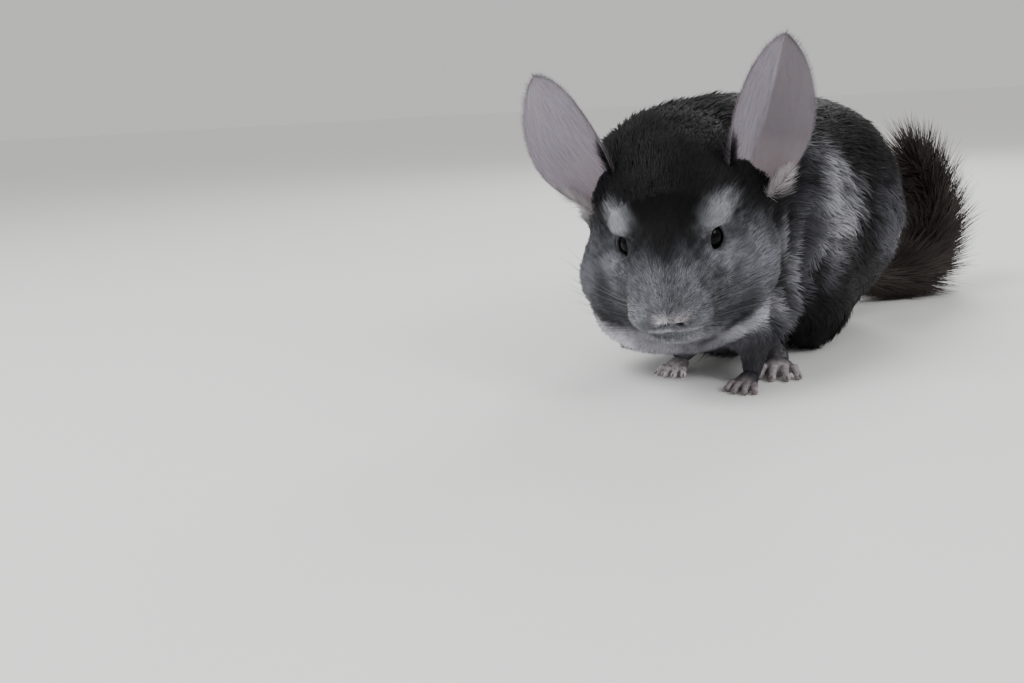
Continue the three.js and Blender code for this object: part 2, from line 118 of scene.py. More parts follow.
# The head's own directions: to its left, forwards and up
def headAxes(pose):
    turn, drop, roll = (math.radians(pose[k]) for k in ("turn", "drop", "roll"))
    ahead = math.cos(drop)
    forward = np.array([math.sin(turn) * ahead, -math.cos(turn) * ahead, -math.sin(drop)])
    level = np.array([math.cos(turn), math.sin(turn), 0])
    upright = np.cross(forward, level)
    side = level * math.cos(roll) + upright * math.sin(roll)
    up = upright * math.cos(roll) - level * math.sin(roll)
    return np.array([side, forward, up])


axes = headAxes(headPose)
headPlace = np.array(headPose["place"], float)


def headPoint(s, f, u):
    return headPlace + np.array([s, f, u], float) @ axes


def headDirection(s, f, u):
    return unit(np.array([s, f, u], float) @ axes)


def toHead(p):
    return (p - headPlace) @ axes.T


eyeCentres = {
    side: headPoint(sign * eyeForm["place"][0], eyeForm["place"][1], eyeForm["place"][2])
    for side, sign in (("left", 1), ("right", -1))
}

# Where the animal's frame lies in the row's frame, read from one eye
low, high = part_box("eye_left")
shift = (np.array(low) + np.array(high)) * 500 - eyeCentres["left"]


def toRow(p):
    return (np.asarray(p, float) + shift) / 1000


def smooth(edge0, edge1, x):
    t = np.clip((x - edge0) / (edge1 - edge0), 0, 1)
    return t * t * (3 - 2 * t)


def ellipsoidDistance(p, centre, radii):
    q = (p - np.array(centre, float)) / np.array(radii, float)
    near = np.linalg.norm(q, axis=-1)
    steep = np.linalg.norm(q / np.array(radii, float), axis=-1)
    return near * (near - 1) / np.maximum(steep, 1e-9)


def rodDistance(p, start, end, wide, thin):
    start, run = np.array(start, float), np.array(end, float) - np.array(start, float)
    t = np.clip((p - start) @ run / (run @ run), 0, 1)
    return np.linalg.norm(p - start - t[..., None] * run, axis=-1) - (wide + (thin - wide) * t)


def blended(a, b, width):
    overlap = np.maximum(width - np.abs(a - b), 0) / width
    return np.minimum(a, b) - overlap * overlap * width / 4


def carved(a, cutter, width):
    return -blended(-a, cutter, width)


# Distance to the tips of the coat, for points p in the animal's frame and q in the head's
def coatDistance(p, q):
    d = np.full(p.shape[:-1], 1e3)
    for centre, radii, blend in bodyForm["masses"]:
        d = blended(d, ellipsoidDistance(p, centre, radii), blend)
    for centre, radii in bodyForm["thighs"]:
        d = blended(d, ellipsoidDistance(p, centre, radii), 9)
    for rod in bodyForm["forelegs"]:
        d = blended(d, rodDistance(p, *rod), 10)
    for centre, radii, blend in headForm["masses"]:
        d = blended(d, ellipsoidDistance(q, centre, radii), blend)
    return d


depthForm = {"centre": (0, 14, -8), "stretch": (1, 1.1, 1), "face": 1.2, "more": 2.3, "leg": 1.5}


# How far the skin lies under the tips: least on the face and the forelegs
def coatDepth(p, q):
    fromFace = (q - np.array(depthForm["centre"])) / np.array(depthForm["stretch"])
    depth = depthForm["face"] + depthForm["more"] * smooth(18, 46, np.linalg.norm(fromFace, axis=-1))
    rod = np.minimum(*[rodDistance(p, *leg) for leg in bodyForm["forelegs"]])
    onLeg = (1 - smooth(14, 26, p[..., 2])) * (1 - smooth(1, 5, rod))
    return depth * (1 - onLeg) + depthForm["leg"] * onLeg


# Soft folds of the neck behind the jowls, as a rise and fall of the skin
def neckFolds(p):
    place = (p[..., 1] + 60 + 0.12 * (p[..., 2] - 50)) / 9.5
    share = smooth(22, 34, np.abs(p[..., 0]))
    share = share * smooth(8, 24, p[..., 2]) * (1 - smooth(84, 100, p[..., 2]))
    share = share * smooth(-84, -70, p[..., 1]) * (1 - smooth(-48, -34, p[..., 1]))
    return 1.5 * share * np.cos(2 * np.pi * place)


mouthForm = {
    "nose": (1.7, 33.0, -9.4),
    "lobe": {"aside": 3.1, "back": 1.4, "drop": 0.4, "radii": (3.5, 3.0, 3.1)},
    "nostril": ((2.6, 33.6, -11.1), (1.8, 2.6, 0.85)),
    "cleft": ((1.7, 34.4, -12.0), (1.5, 31.0, -17.6), 0.5, 0.55),
    "line": {
        "middle": 1.4, "width": 8.5, "centre": 17.2, "reach": 13.6,
        "up": -17.7, "sag": 0.6, "radius": 0.45,
    },
}


# Points along the lips, from one corner of the mouth to the other
def mouthLine(steps=14):
    line = mouthForm["line"]
    swing = np.radians(np.linspace(-60, 60, steps))
    return np.stack([
        line["middle"] + line["width"] * np.sin(swing),
        line["centre"] + line["reach"] * np.cos(swing),
        line["up"] - line["sag"] * np.sin(swing) ** 2,
    ], axis=1)


# Each eye's own axes: along its slit, across it and outwards
eyeAxes = {}
for side, sign in (("left", 1), ("right", -1)):
    outward, forward, upward = eyeForm["facing"]
    facing = headDirection(sign * outward, forward, upward)
    inward, back, upward = eyeForm["slant"]
    slant = headDirection(-sign * inward, -back, upward)
    across = unit(slant - facing * (slant @ facing))
    eyeAxes[side] = np.array([across, np.cross(facing, across), facing])


# Distance to the bare skin, with lids, nose and mouth
def skinDistance(p):
    q = toHead(p)
    d = coatDistance(p, q) + coatDepth(p, q) + neckFolds(p)
    for centre, radii, blend in headForm["details"]:
        d = blended(d, ellipsoidDistance(q, centre, radii) + 1.2, blend)
    near = np.abs(d) < 14
    near &= q[..., 1] > -14
    pn, qn, dn = p[near], q[near], d[near]
    nx, ny, nz = mouthForm["nose"]
    lobe = mouthForm["lobe"]
    for sign in (1, -1):
        middle = (nx + sign * lobe["aside"], ny - lobe["back"], nz - lobe["drop"])
        dn = blended(dn, ellipsoidDistance(qn, middle, lobe["radii"]), 1.4)
    for sign in (1, -1):
        (s, f, u), radii = mouthForm["nostril"]
        turned = qn - np.array([nx + sign * s, f, u])
        tilt = math.radians(28) * sign
        turned = np.stack([
            turned[:, 0] * math.cos(tilt) + turned[:, 2] * math.sin(tilt),
            turned[:, 1],
            turned[:, 2] * math.cos(tilt) - turned[:, 0] * math.sin(tilt),
        ], axis=1)
        dn = carved(dn, ellipsoidDistance(turned, (0, 0, 0), radii), 0.5)
    start, end, wide, thin = mouthForm["cleft"]
    dn = carved(dn, rodDistance(qn, start, end, wide, thin), 0.8)
    line, lips = mouthForm["line"], mouthLine()
    for a, b in zip(lips[:-1], lips[1:]):
        dn = carved(dn, rodDistance(qn, a, b, line["radius"], line["radius"]), 0.8)
    for side, centre in eyeCentres.items():
        local = (pn - centre) @ eyeAxes[side].T
        ball = np.linalg.norm(local, axis=-1)
        radius, drop = eyeForm["radius"], eyeForm["drop"]
        dn = blended(dn, ball - radius - eyeForm["lid"], 1.6)
        rim = np.abs(ellipsoidDistance(local, (0, -drop, radius), eyeForm["rim"]) - 0.3)
        dn = blended(dn, np.maximum(rim - 0.55, ball - radius - 1.3), 0.8)
        opening = ellipsoidDistance(local, (0, -drop, radius + eyeForm["lid"]), eyeForm["opening"])
        dn = carved(dn, opening, 0.5)
        dn = carved(dn, ball - radius - 0.1, 0.2)
    d[near] = dn
    return d


# Grid lines that stand close together from fineLow to fineHigh
def spacedLine(low, high, coarse, fineLow, fineHigh, fine):
    before = np.linspace(low, fineLow, max(2, round((fineLow - low) / coarse) + 1))[:-1]
    middle = np.linspace(fineLow, fineHigh, round((fineHigh - fineLow) / fine) + 1)
    after = np.linspace(fineHigh, high, max(2, round((high - fineHigh) / coarse) + 1))[1:]
    return np.concatenate([before, middle, after])


# Which way and how fast a field rises
def fieldSlope(field, p, h=0.05):
    slope = np.zeros_like(p)
    for k in range(3):
        step = np.zeros(3)
        step[k] = h
        slope[:, k] = (field(p + step) - field(p - step)) / (2 * h)
    return slope


# The zero surface of a field as quads, by surface nets on a grid of uneven lines
def netSurface(field, lines):
    values = np.empty([len(line) for line in lines])
    for i, x in enumerate(lines[0]):
        yy, zz = np.meshgrid(lines[1], lines[2], indexing="ij")
        values[i] = field(np.stack([np.full_like(yy, x), yy, zz], axis=-1))
    for axis in range(3):
        edge = [slice(None)] * 3
        for end in (0, -1):
            edge[axis] = end
            values[tuple(edge)] = np.maximum(values[tuple(edge)], 0.01)
    inside = values < 0
    steps = np.array([[i, j, k] for i in (0, 1) for j in (0, 1) for k in (0, 1)])
    size = np.array(inside.shape) - 1
    total = sum(inside[i:size[0] + i, j:size[1] + j, k:size[2] + k].astype(int) for i, j, k in steps)
    active = (total > 0) & (total < 8)
    cellIndex = np.full(active.shape, -1)
    cellIndex[active] = np.arange(active.sum())
    corners = np.argwhere(active)[:, None, :] + steps
    v = values[corners[..., 0], corners[..., 1], corners[..., 2]]
    place = np.stack([lines[k][corners[..., k]] for k in range(3)], axis=-1)
    points, number = np.zeros((len(v), 3)), np.zeros(len(v))
    for a in range(8):
        for b in range(a + 1, 8):
            if abs(steps[a] - steps[b]).sum() != 1:
                continue
            crosses = (v[:, a] < 0) != (v[:, b] < 0)
            t = v[crosses, a] / (v[crosses, a] - v[crosses, b])
            points[crosses] += place[crosses, a] + t[:, None] * (place[crosses, b] - place[crosses, a])
            number[crosses] += 1
    points /= number[:, None]
    quads = []
    for axis in range(3):
        cut = [slice(None)] * 3
        cut[axis] = slice(0, -1)
        first = inside[tuple(cut)]
        cut[axis] = slice(1, None)
        second = inside[tuple(cut)]
        found = np.argwhere(first != second)
        u, w = (axis + 1) % 3, (axis + 2) % 3
        found = found[(found[:, u] > 0) & (found[:, w] > 0)]
        found = found[(found[:, u] < size[u]) & (found[:, w] < size[w])]
        outward = first[found[:, 0], found[:, 1], found[:, 2]]
        ring = []
        for du, dw in ((0, 0), (-1, 0), (-1, -1), (0, -1)):
            cell = found.copy()
            cell[:, u] += du
            cell[:, w] += dw
            ring.append(cellIndex[cell[:, 0], cell[:, 1], cell[:, 2]])
        ring = np.stack(ring, axis=1)
        quads.append(np.where(outward[:, None], ring, ring[:, ::-1]))
    gap = min(np.diff(line).min() for line in lines)
    for turn in range(4):
        slope = fieldSlope(field, points)
        move = np.clip(field(points), -gap, gap) / np.maximum((slope ** 2).sum(1), 0.25)
        points -= slope * move[:, None]
    return points, np.concatenate(quads)


# Quads round a tube whose rows all have the same number of points
def tubeFaces(rows, around, first=0, flipped=False):
    faces = []
    for row in range(rows - 1):
        for k in range(around):
            a, b = first + row * around + k, first + row * around + (k + 1) % around
            faces.append((a, a + around, b + around, b) if flipped else (a, b, b + around, a + around))
    return faces


def newMesh(name, points, faces, material):
    if isinstance(faces, np.ndarray):
        faces = faces.tolist()
    mesh = bpy.data.meshes.new(name)
    mesh.from_pydata(np.asarray(points).tolist(), [], faces)
    mesh.polygons.foreach_set("use_smooth", [True] * len(mesh.polygons))
    mesh.materials.append(material)
    mesh.update()
    piece = bpy.data.objects.new(name, mesh)
    bpy.context.scene.collection.objects.link(piece)
    return piece


def setAttribute(mesh, name, kind, domain, values):
    old = mesh.attributes.get(name)
    if old:
        mesh.attributes.remove(old)
    attribute = mesh.attributes.new(name, kind, domain)
    key = {"FLOAT_VECTOR": "vector", "FLOAT_COLOR": "color"}.get(kind, "value")
    number = np.int32 if kind == "INT" else np.float32
    attribute.data.foreach_set(key, np.asarray(values, number).ravel())


def hexColor(text):
    channels = [int(text[k:k + 2], 16) / 255 for k in (1, 3, 5)]
    return np.array([c / 12.92 if c <= 0.04045 else ((c + 0.055) / 1.055) ** 2.4 for c in channels])


# Markings, with some painted shade and painted sheen among them: soft spots of colour, in the head's
# axes or in the body's frame
markingsAndPaintedLight = {
    "base": "#0b0b0e",
    "head": [
        # centre, radii, colour and strength
        ((0, 8, -9), (36, 28, 18), "#5a5b62", 0.85),
        ((0, 20, -12), (25, 26, 18), "#74767d", 1.0),
        ((26, 0, -14), (17, 17, 19), "#72737b", 0.95),
        ((-28, 2, -14), (16, 15, 18), "#67686f", 0.95),
        ((-25, 8, -39), (22, 24, 10), "#dcdce6", 0.97),
        ((0, 22, -29), (22, 16, 7), "#8e8e96", 0.95),
        ((25, 6, -38), (19, 22, 7.5), "#bdbdc8", 0.9),
        ((0, 8, -43), (28, 24, 12), "#8e8e96", 0.95),
        ((0, 0, -56), (48, 40, 13), "#77777f", 0.85),
        ((-12, 27, -12), (8, 8, 7), "#8f9097", 0.7),
        ((19, 2, 11), (9.4, 9, 5.4), "#999ba2", 0.75),
        ((-19, 2, 11), (9, 9, 5.6), "#a8aab1", 0.77),
        ((20, 8, -2.5), (6, 6, 3.6), "#85878f", 0.75),
        ((-22, 7, -2.5), (6, 6, 3.6), "#8c8e96", 0.75),
        ((0, 2, 18), (14, 24, 13), "#08080a", 0.97),
        ((0, 14, 10), (5.5, 10, 8), "#0f0f12", 0.9),
        ((-1.4, 33.4, -9.2), (3.2, 4.5, 2.3), "#cfcacf", 0.85),
        ((4.8, 33.2, -9.4), (3.2, 4.5, 2.3), "#c9c4c9", 0.85),
        # painted shade: dark spots in the nostril openings below the pale lobes
        ((-1.2, 33.8, -11.4), (1.7, 3, 1.1), "#1c191b", 0.9),
        ((4.6, 33.6, -11.6), (1.7, 3, 1.1), "#1c191b", 0.9),
        ((-2.8, 31.6, -15.9), (6, 5, 1.7), "#b6b3b8", 0.75),
        ((6.6, 31.2, -16.2), (6, 5, 1.7), "#a9a6ac", 0.7),
        # dark whisker beds: partly the coat's own dark there, partly painted shade in the hollows behind
        # the whisker pads
        ((22, 13, -22), (10, 9, 6), "#34353a", 0.75),
        ((-20, 14, -22), (9, 9, 6), "#3f4046", 0.7),
        ((32, -8, -14), (3, 8, 20), "#232327", 0.6),
        ((37.5, -14, -14), (2.6, 8, 21), "#9a9aa2", 0.75),
        ((34, -25, 4), (4, 5, 5), "#c4bfc2", 0.9),
        ((-36, -23, 4), (7, 8, 8), "#cbc6c9", 0.9),
    ],
    "body": [
        ((0, 6, 46), (60, 50, 26), "#232327", 0.55),
        # pale silver patch on the left flank: partly the coat's own pale side, partly painted sheen
        ((43, -33, 67), (16, 18, 26), "#a5a5ac", 0.86),
        ((40, -34, 40), (10, 10, 12), "#6d6d74", 0.7),
        # the same silver patch on the right flank: partly the coat's own pale side, partly painted sheen
        ((-43, -30, 60), (17, 19, 30), "#86868d", 0.85),
        ((36, -62, 50), (14, 12, 34), "#4a4a50", 0.85),
        ((-36, -62, 50), (14, 12, 34), "#4a4a50", 0.85),
        ((36, -66, 38), (6, 3, 18), "#85858c", 0.55),
        ((50, 16, 52), (18, 22, 24), "#5e5e66", 0.8),
        ((-50, 16, 52), (18, 22, 24), "#5e5e66", 0.8),
        ((0, 60, 45), (34, 22, 32), "#3c3c42", 0.8),
        # dark low on the flanks and on the thighs: partly the coat's own dark bands, partly painted
        # shade under the body
        ((46, -9, 42), (11, 9, 14), "#101012", 0.92),
        ((43, -18, 32), (12, 11, 12), "#101012", 0.92),
        ((36, -24, 18), (20, 28, 20), "#0b0b0d", 0.97),
        ((-36, -14, 18), (18, 26, 17), "#0b0b0d", 0.95),
        ((30, -80, 12), (10, 12, 12), "#2e2e32", 0.85),
        ((-8, -74, 12), (12, 14, 14), "#b0b0b7", 0.9),
    ],
}


# One colour laid over another by a share for each point
def tinted(colour, share, paint):
    return colour * (1 - share[:, None]) + hexColor(paint) * share[:, None]


# From 1 inside an ellipsoid to 0 outside it, falling from inner to outer, which count in its radii
def softSpot(place, centre, radii, inner, outer):
    return 1 - smooth(inner, outer, np.linalg.norm((place - np.array(centre)) / np.array(radii), axis=1))


# Slow soft waves that let neighbouring patches of one coat differ
def softNoise(p, wave, salt):
    random = np.random.default_rng(salt)
    total = np.zeros(len(p))
    for turn in range(7):
        way = unit(random.normal(size=3))
        bend = unit(random.normal(size=3))
        phase = random.uniform(0, 2 * np.pi, 2)
        run = 2 * np.pi / (wave * random.uniform(0.6, 1.6))
        total += np.sin(run * (p @ way) + phase[0] + 1.6 * np.sin(0.6 * run * (p @ bend) + phase[1]))
    return total / 3.2


def coatColor(p):
    q = toHead(p)
    colour = np.tile(hexColor(markingsAndPaintedLight["base"]), (len(p), 1))
    wander = 0.13 * softNoise(p, 22, 3) + 0.09 * softNoise(p, 7, 4) + 0.12 * softNoise(p, 2.6, 14)
    for place, spots, uneven in ((q, markingsAndPaintedLight["head"], 1), (p, markingsAndPaintedLight["body"], 1.9)):
        for centre, radii, paint, strength in spots:
            far = np.linalg.norm((place - np.array(centre)) / np.array(radii), axis=1) + uneven * wander
            colour = tinted(colour, strength * (1 - smooth(0.3, 1.35, far)), paint)
    brushAndFoldShade = 1 + 0.2 * softNoise(p * np.array([1, 1, 0.4]), 11, 5) + 0.1 * softNoise(p, 5, 6)
    # painted shade in the grooves of the neck folds and painted light on their ridges
    brushAndFoldShade = brushAndFoldShade * (1 - 0.4 * neckFolds(p))
    return colour * np.clip(brushAndFoldShade, 0.4, 1.6)[:, None]


# How much one hair tuft differs from the next: most on the speckled face
def speckleOf(p):
    q = toHead(p)
    face = softSpot(q, (0, 18, -10), (24, 24, 20), 0.8, 1.5)
    cheek = softSpot(q, (28, 3, -8), (12, 14, 14), 0.7, 1.3)
    flank = softSpot(np.abs(p), (43, 31, 62), (20, 22, 30), 0.7, 1.2)
    return np.maximum(0.22 + 0.14 * flank, 0.7 * np.maximum(face, 0.8 * cheek))


# Which way the hair lies: away from the nose on the head, to the tail and down on the body
def hairLie(p, normal):
    q = toHead(p)
    away = unit(q - np.array([0, 42, -6])) @ axes
    fall = -0.35 - 0.3 * np.abs(p[:, 0]) / 50
    back = unit(np.stack([0.1 * p[:, 0] / 50, np.ones(len(p)), fall], axis=1))
    onHead = (1 - smooth(38, 62, np.linalg.norm(q - np.array([0, 0, -8]), axis=1)))[:, None]
    lie = away * onHead + back * (1 - onHead)
    legs = smooth(14, 24, p[:, 2])[:, None]
    lie = lie * legs + np.array([0, -0.3, -1]) * (1 - legs)
    lie = flattened(lie, normal)
    swirl = 0.4 * softNoise(p, 17, 8) + 0.2 * softNoise(p, 6, 9)
    aside = np.cross(normal, lie)
    return unit(lie + aside * (swirl * (0.35 + 0.65 * (1 - onHead[:, 0])))[:, None])


# Six tiles of the bake map, in millimetres: two for each axis, side by side or one over the other
tileForm = {
    "whole": 540, "corner": (66, 145, 4), "wide": 134, "tall": 136,
    "topFrom": 295, "topPressed": 0.94, "endFrom": 280,
}


# A box unwrap of a shape's own surface: each corner lies on the tile its face looks towards
def boxUnwrap(points, normals):
    scale = 1 / tileForm["whole"]
    major = np.abs(normals).argmax(1)
    positive = normals[np.arange(len(normals)), major] > 0
    u, v = np.zeros(len(points)), np.zeros(len(points))
    x, y, z = (points + np.array(tileForm["corner"])).T
    side, end, top = (major == axis for axis in range(3))
    u[side], v[side] = y[side], z[side] + tileForm["tall"] * positive[side]
    u[top] = x[top] + tileForm["topFrom"] + tileForm["wide"] * positive[top]
    v[top] = y[top] * tileForm["topPressed"]
    u[end], v[end] = x[end] + tileForm["wide"] * positive[end], z[end] + tileForm["endFrom"]
    return np.stack([u * scale, v * scale, np.zeros(len(points))], axis=1)


print("materials")


def newMaterial(name):
    material = bpy.data.materials.new(name)
    material.use_nodes = True
    nodes, links = material.node_tree.nodes, material.node_tree.links
    shader = nodes["Principled BSDF"]
    return material, nodes, links, shader


def addNode(nodes, kind, **settings):
    node = nodes.new(kind)
    for key, value in settings.items():
        setattr(node, key, value)
    return node


def setInputs(node, values):
    for key, value in values.items():
        node.inputs[key].default_value = value
    return node


# Goes from a to b with the factor; each of the two is a socket or a colour written in hex
def mixColor(nodes, links, factor, a, b):
    mix = addNode(nodes, "ShaderNodeMix", data_type="RGBA")
    for label, value in (("Factor", factor), ("A", a), ("B", b)):
        target = next(i for i in mix.inputs if i.name == label and i.enabled)
        if isinstance(value, str):
            target.default_value = (*hexColor(value), 1)
        else:
            links.new(value, target)
    return next(o for o in mix.outputs if o.enabled)


def mapRange(nodes, links, value, toLow, toHigh, fromLow=0.0, fromHigh=1.0):
    ends = {"From Min": fromLow, "From Max": fromHigh, "To Min": toLow, "To Max": toHigh}
    node = setInputs(addNode(nodes, "ShaderNodeMapRange"), ends)
    links.new(value, node.inputs["Value"])
    return node.outputs["Result"]


def scaledColor(nodes, links, colour, value):
    mix = addNode(nodes, "ShaderNodeVectorMath", operation="SCALE")
    links.new(colour, mix.inputs[0])
    links.new(value, mix.inputs["Scale"])
    return mix.outputs["Vector"]


def attributeNode(nodes, name):
    return addNode(nodes, "ShaderNodeAttribute", attribute_name=name)


def noiseNode(nodes, scale, detail):
    return setInputs(addNode(nodes, "ShaderNodeTexNoise"), {"Scale": scale, "Detail": detail})


def addRelief(nodes, links, shader, height, strength):
    bump = setInputs(addNode(nodes, "ShaderNodeBump"), {"Strength": strength, "Distance": 0.0004})
    links.new(height, bump.inputs["Height"])
    links.new(bump.outputs["Normal"], shader.inputs["Normal"])


# Hair: darker at the root and lighter at the tip, each tuft a little different from the next
def hairMaterial(name, rootShade, tipShade, roughness):
    material, nodes, links, shader = newMaterial(name)
    colour = attributeNode(nodes, "coatColor").outputs["Color"]
    along = attributeNode(nodes, "along").outputs["Fac"]
    chance = attributeNode(nodes, "tuftRandom").outputs["Fac"]
    speckle = attributeNode(nodes, "speckle").outputs["Fac"]
    shade = mapRange(nodes, links, along, rootShade, tipShade)
    swing = addNode(nodes, "ShaderNodeMath", operation="MULTIPLY")
    links.new(mapRange(nodes, links, chance, -1.0, 1.0), swing.inputs[0])
    links.new(speckle, swing.inputs[1])
    change = addNode(nodes, "ShaderNodeMath", operation="ADD")
    links.new(swing.outputs[0], change.inputs[0])
    change.inputs[1].default_value = 1.0
    both = addNode(nodes, "ShaderNodeMath", operation="MULTIPLY")
    links.new(shade, both.inputs[0])
    links.new(change.outputs[0], both.inputs[1])
    links.new(scaledColor(nodes, links, colour, both.outputs[0]), shader.inputs["Base Color"])
    setInputs(shader, {
        "Roughness": roughness, "Specular IOR Level": 0.16,
        "Sheen Weight": 0.02, "Sheen Roughness": 0.45,
    })
    return material


# Bare skin: the coat's colour with fine pores, mostly hidden by hair
def skinMaterial(name, shade=0.6, scale=900, roughness=0.75, relief=0.35):
    material, nodes, links, shader = newMaterial(name)
    colour = attributeNode(nodes, "coatColor").outputs["Color"]
    coordinates = addNode(nodes, "ShaderNodeTexCoord")
    noise = noiseNode(nodes, scale, 4)
    links.new(coordinates.outputs["Object"], noise.inputs["Vector"])
    amount = mapRange(nodes, links, noise.outputs["Fac"], shade * 0.6, shade * 1.4, 0.3, 0.7)
    links.new(scaledColor(nodes, links, colour, amount), shader.inputs["Base Color"])
    addRelief(nodes, links, shader, noise.outputs["Fac"], relief)
    setInputs(shader, {"Roughness": roughness, "Specular IOR Level": 0.3})
    return material


coatHair = hairMaterial("coatHair", 0.6, 1.2, 0.55)
faceHair = hairMaterial("faceHair", 0.82, 1.12, 0.6)
tailHair = hairMaterial("tailHair", 0.9, 2.3, 0.5)
coatSkin = skinMaterial("coatSkin")

print("skin")
skinGrid = {
    "coarse": 2.1, "fine": 0.75,
    # ends of each axis, then ends of its fine part round the face
    "ends": [(-62, 62, -26, 44), (-142, 80, -140, -100), (-2, 118, 12, 76)],
}
gridLines = [
    spacedLine(start, finish, skinGrid["coarse"], fineStart, fineFinish, skinGrid["fine"])
    for start, finish, fineStart, fineFinish in skinGrid["ends"]
]
skinPoints, skinFaces = netSurface(skinDistance, gridLines)
skinPoints[:, 2] = np.maximum(skinPoints[:, 2], 0.0)
skin = newMesh("skin", toRow(skinPoints), skinFaces, coatSkin)
print("skin points", len(skinPoints), "faces", len(skinFaces))

coatForm = {
    "bodyLength": 9.0, "faceLength": 2.7,
    "bodyWidth": 0.58, "faceWidth": 0.3,
    "bodyDensity": 1.64, "faceDensity": 7.5,
    "bodyLift": 0.38, "faceLift": 0.32,
    "bodyTufts": 19000, "faceTufts": 48000,  # the most on one piece
}
headBall = ((0, -4, -9), (47, 45, 46))  # the part of the coat that counts as the head's


def faceNormals(points, faces):
    a, b = points[faces[:, 2]] - points[faces[:, 0]], points[faces[:, 3]] - points[faces[:, 1]]
    return unit(np.cross(a, b))


# Writes on a skin what its tufts need, and tells how many tufts each face will grow
def storeCoat(piece, points, faces, values, uv):
    mesh = piece.data
    opaque = np.c_[values["colour"], np.ones(len(points))]
    setAttribute(mesh, "coatColor", "FLOAT_COLOR", "POINT", opaque)
    setAttribute(mesh, "lie", "FLOAT_VECTOR", "POINT", values["lie"])
    setAttribute(mesh, "tuftLength", "FLOAT", "POINT", values["length"] / 1000)
    setAttribute(mesh, "tuftWidth", "FLOAT", "POINT", values["width"] / 1000)
    setAttribute(mesh, "tuftDensity", "FLOAT", "POINT", values["density"] * 1e6)
    setAttribute(mesh, "tuftLift", "FLOAT", "POINT", values["lift"])
    setAttribute(mesh, "speckle", "FLOAT", "POINT", values["speckle"])
    setAttribute(mesh, "rootUv", "FLOAT_VECTOR", "CORNER", uv)
    a, b = points[faces[:, 2]] - points[faces[:, 0]], points[faces[:, 3]] - points[faces[:, 1]]
    area = np.linalg.norm(np.cross(a, b), axis=1) / 2
    return area * values["density"][faces].mean(1)


# Length, width, density, lift and colour of the tufts all over the head and body
def prepareCoat(piece, points, faces):
    normals = unit(fieldSlope(lambda p: coatDistance(p, toHead(p)) + neckFolds(p), points))
    q = toHead(points)
    grown = smooth(depthForm["face"], depthForm["face"] + depthForm["more"], coatDepth(points, q))

    def between(part):
        return coatForm["face" + part] + (coatForm["body" + part] - coatForm["face" + part]) * grown

    length, density = between("Length"), between("Density")
    nearEye = np.full(len(points), 99.0)
    for side, centre in eyeCentres.items():
        local = (points - centre) @ eyeAxes[side].T
        onSlit = (local[:, :2] + np.array([0, eyeForm["drop"]])) / np.array(eyeForm["bare"])
        slit = np.linalg.norm(onSlit, axis=1) + 9 * (local[:, 2] < 0)
        density = density * smooth(0.98, 1.15, slit)
        nearEye = np.minimum(nearEye, np.linalg.norm(local, axis=1))
    length = length * (0.5 + 0.5 * smooth(7, 15, nearEye))
    onHead = grown * softSpot(q, *headBall, 0.9, 1.12)
    length, density = length * (1 - 0.42 * onHead), density * (1 + 0.6 * onHead)
    muzzle = smooth(10, 26, np.linalg.norm(q - np.array([1.5, 30, -11]), axis=1))
    length = length * (0.62 + 0.38 * muzzle)
    nose = np.array(mouthForm["nose"]) + np.array([0, 0, -0.6])
    pad = np.linalg.norm((q - nose - np.array([0, 0, -1])) / np.array([4.4, 5, 1.8]), axis=1)
    density = density * smooth(0.85, 1.15, pad) * (points[:, 2] > 1.0)
    fluff = np.zeros(len(points))
    for sign in (1, -1):
        fluff = np.maximum(fluff, softSpot(q, (sign * 35, -23, 3), (1, 1, 1), 4, 12))
    values = {
        "colour": coatColor(points), "lie": hairLie(points, normals), "speckle": speckleOf(points),
        "length": length * (1 + 0.12 * softNoise(points, 14, 12)) * (1 + 0.6 * fluff),
        "width": between("Width") * (1 - 0.25 * onHead), "density": density,
        "lift": between("Lift") + 0.2 * fluff,
    }
    uv = boxUnwrap(points[faces.ravel()], np.repeat(faceNormals(points, faces), 4, axis=0))
    return storeCoat(piece, points, faces, values, uv)


def oneRegion(piece, faces):
    setAttribute(piece.data, "region", "INT", "FACE", np.zeros(len(faces)))


# Sorts the faces into regions that each grow about the same number of tufts
def setRegions(piece, key, tufts, groups, most, start=0):
    region = np.full(len(tufts), -1, np.int32)
    if start:
        piece.data.attributes["region"].data.foreach_get("value", region)
    count, names = start, []
    for name, mask in groups:
        number = max(1, math.ceil(tufts[mask].sum() / most))
        order = np.argsort(np.where(mask, key, np.inf))[:mask.sum()]
        share = np.cumsum(tufts[order]) / max(tufts[order].sum(), 1e-9)
        region[order] = count + np.minimum((share * number).astype(int), number - 1)
        names += [f"{name}_{n + 1}" for n in range(number)]
        count += number
    setAttribute(piece.data, "region", "INT", "FACE", region)
    return names


# One tuft: a thin three-sided lock that starts upright and bends over.
# It is one long and one wide; bend and sway count in its widths.
def tuftMesh(name, bend, sway, levels):
    points, along, across = [], [], []
    for t in levels[:-1]:
        wide = (0.62 + 0.38 * math.sin(math.pi * min(1, t * 1.5))) * (1 - t ** 3)
        for k, (x, y) in enumerate(((-0.28, -0.5), (-0.28, 0.5), (0.34, 0))):
            points.append((bend * t ** 1.7 + x * wide, sway * t * t + y * wide, t))
            along.append(t)
            across.append(k / 2)
    points.append((bend, sway, levels[-1]))
    along.append(1.0)
    across.append(0.5)
    faces = [(2, 1, 0)]
    for ring in range(len(levels) - 2):
        for k in range(3):
            a, b = ring * 3 + k, ring * 3 + (k + 1) % 3
            faces += [(a, b, b + 3), (a, b + 3, a + 3)]
    last = (len(levels) - 2) * 3
    faces += [(last + k, last + (k + 1) % 3, last + 3) for k in range(3)]
    mesh = bpy.data.meshes.new(name)
    mesh.from_pydata(points, [], faces)
    setAttribute(mesh, "along", "FLOAT", "POINT", along)
    setAttribute(mesh, "across", "FLOAT", "POINT", across)
    return mesh


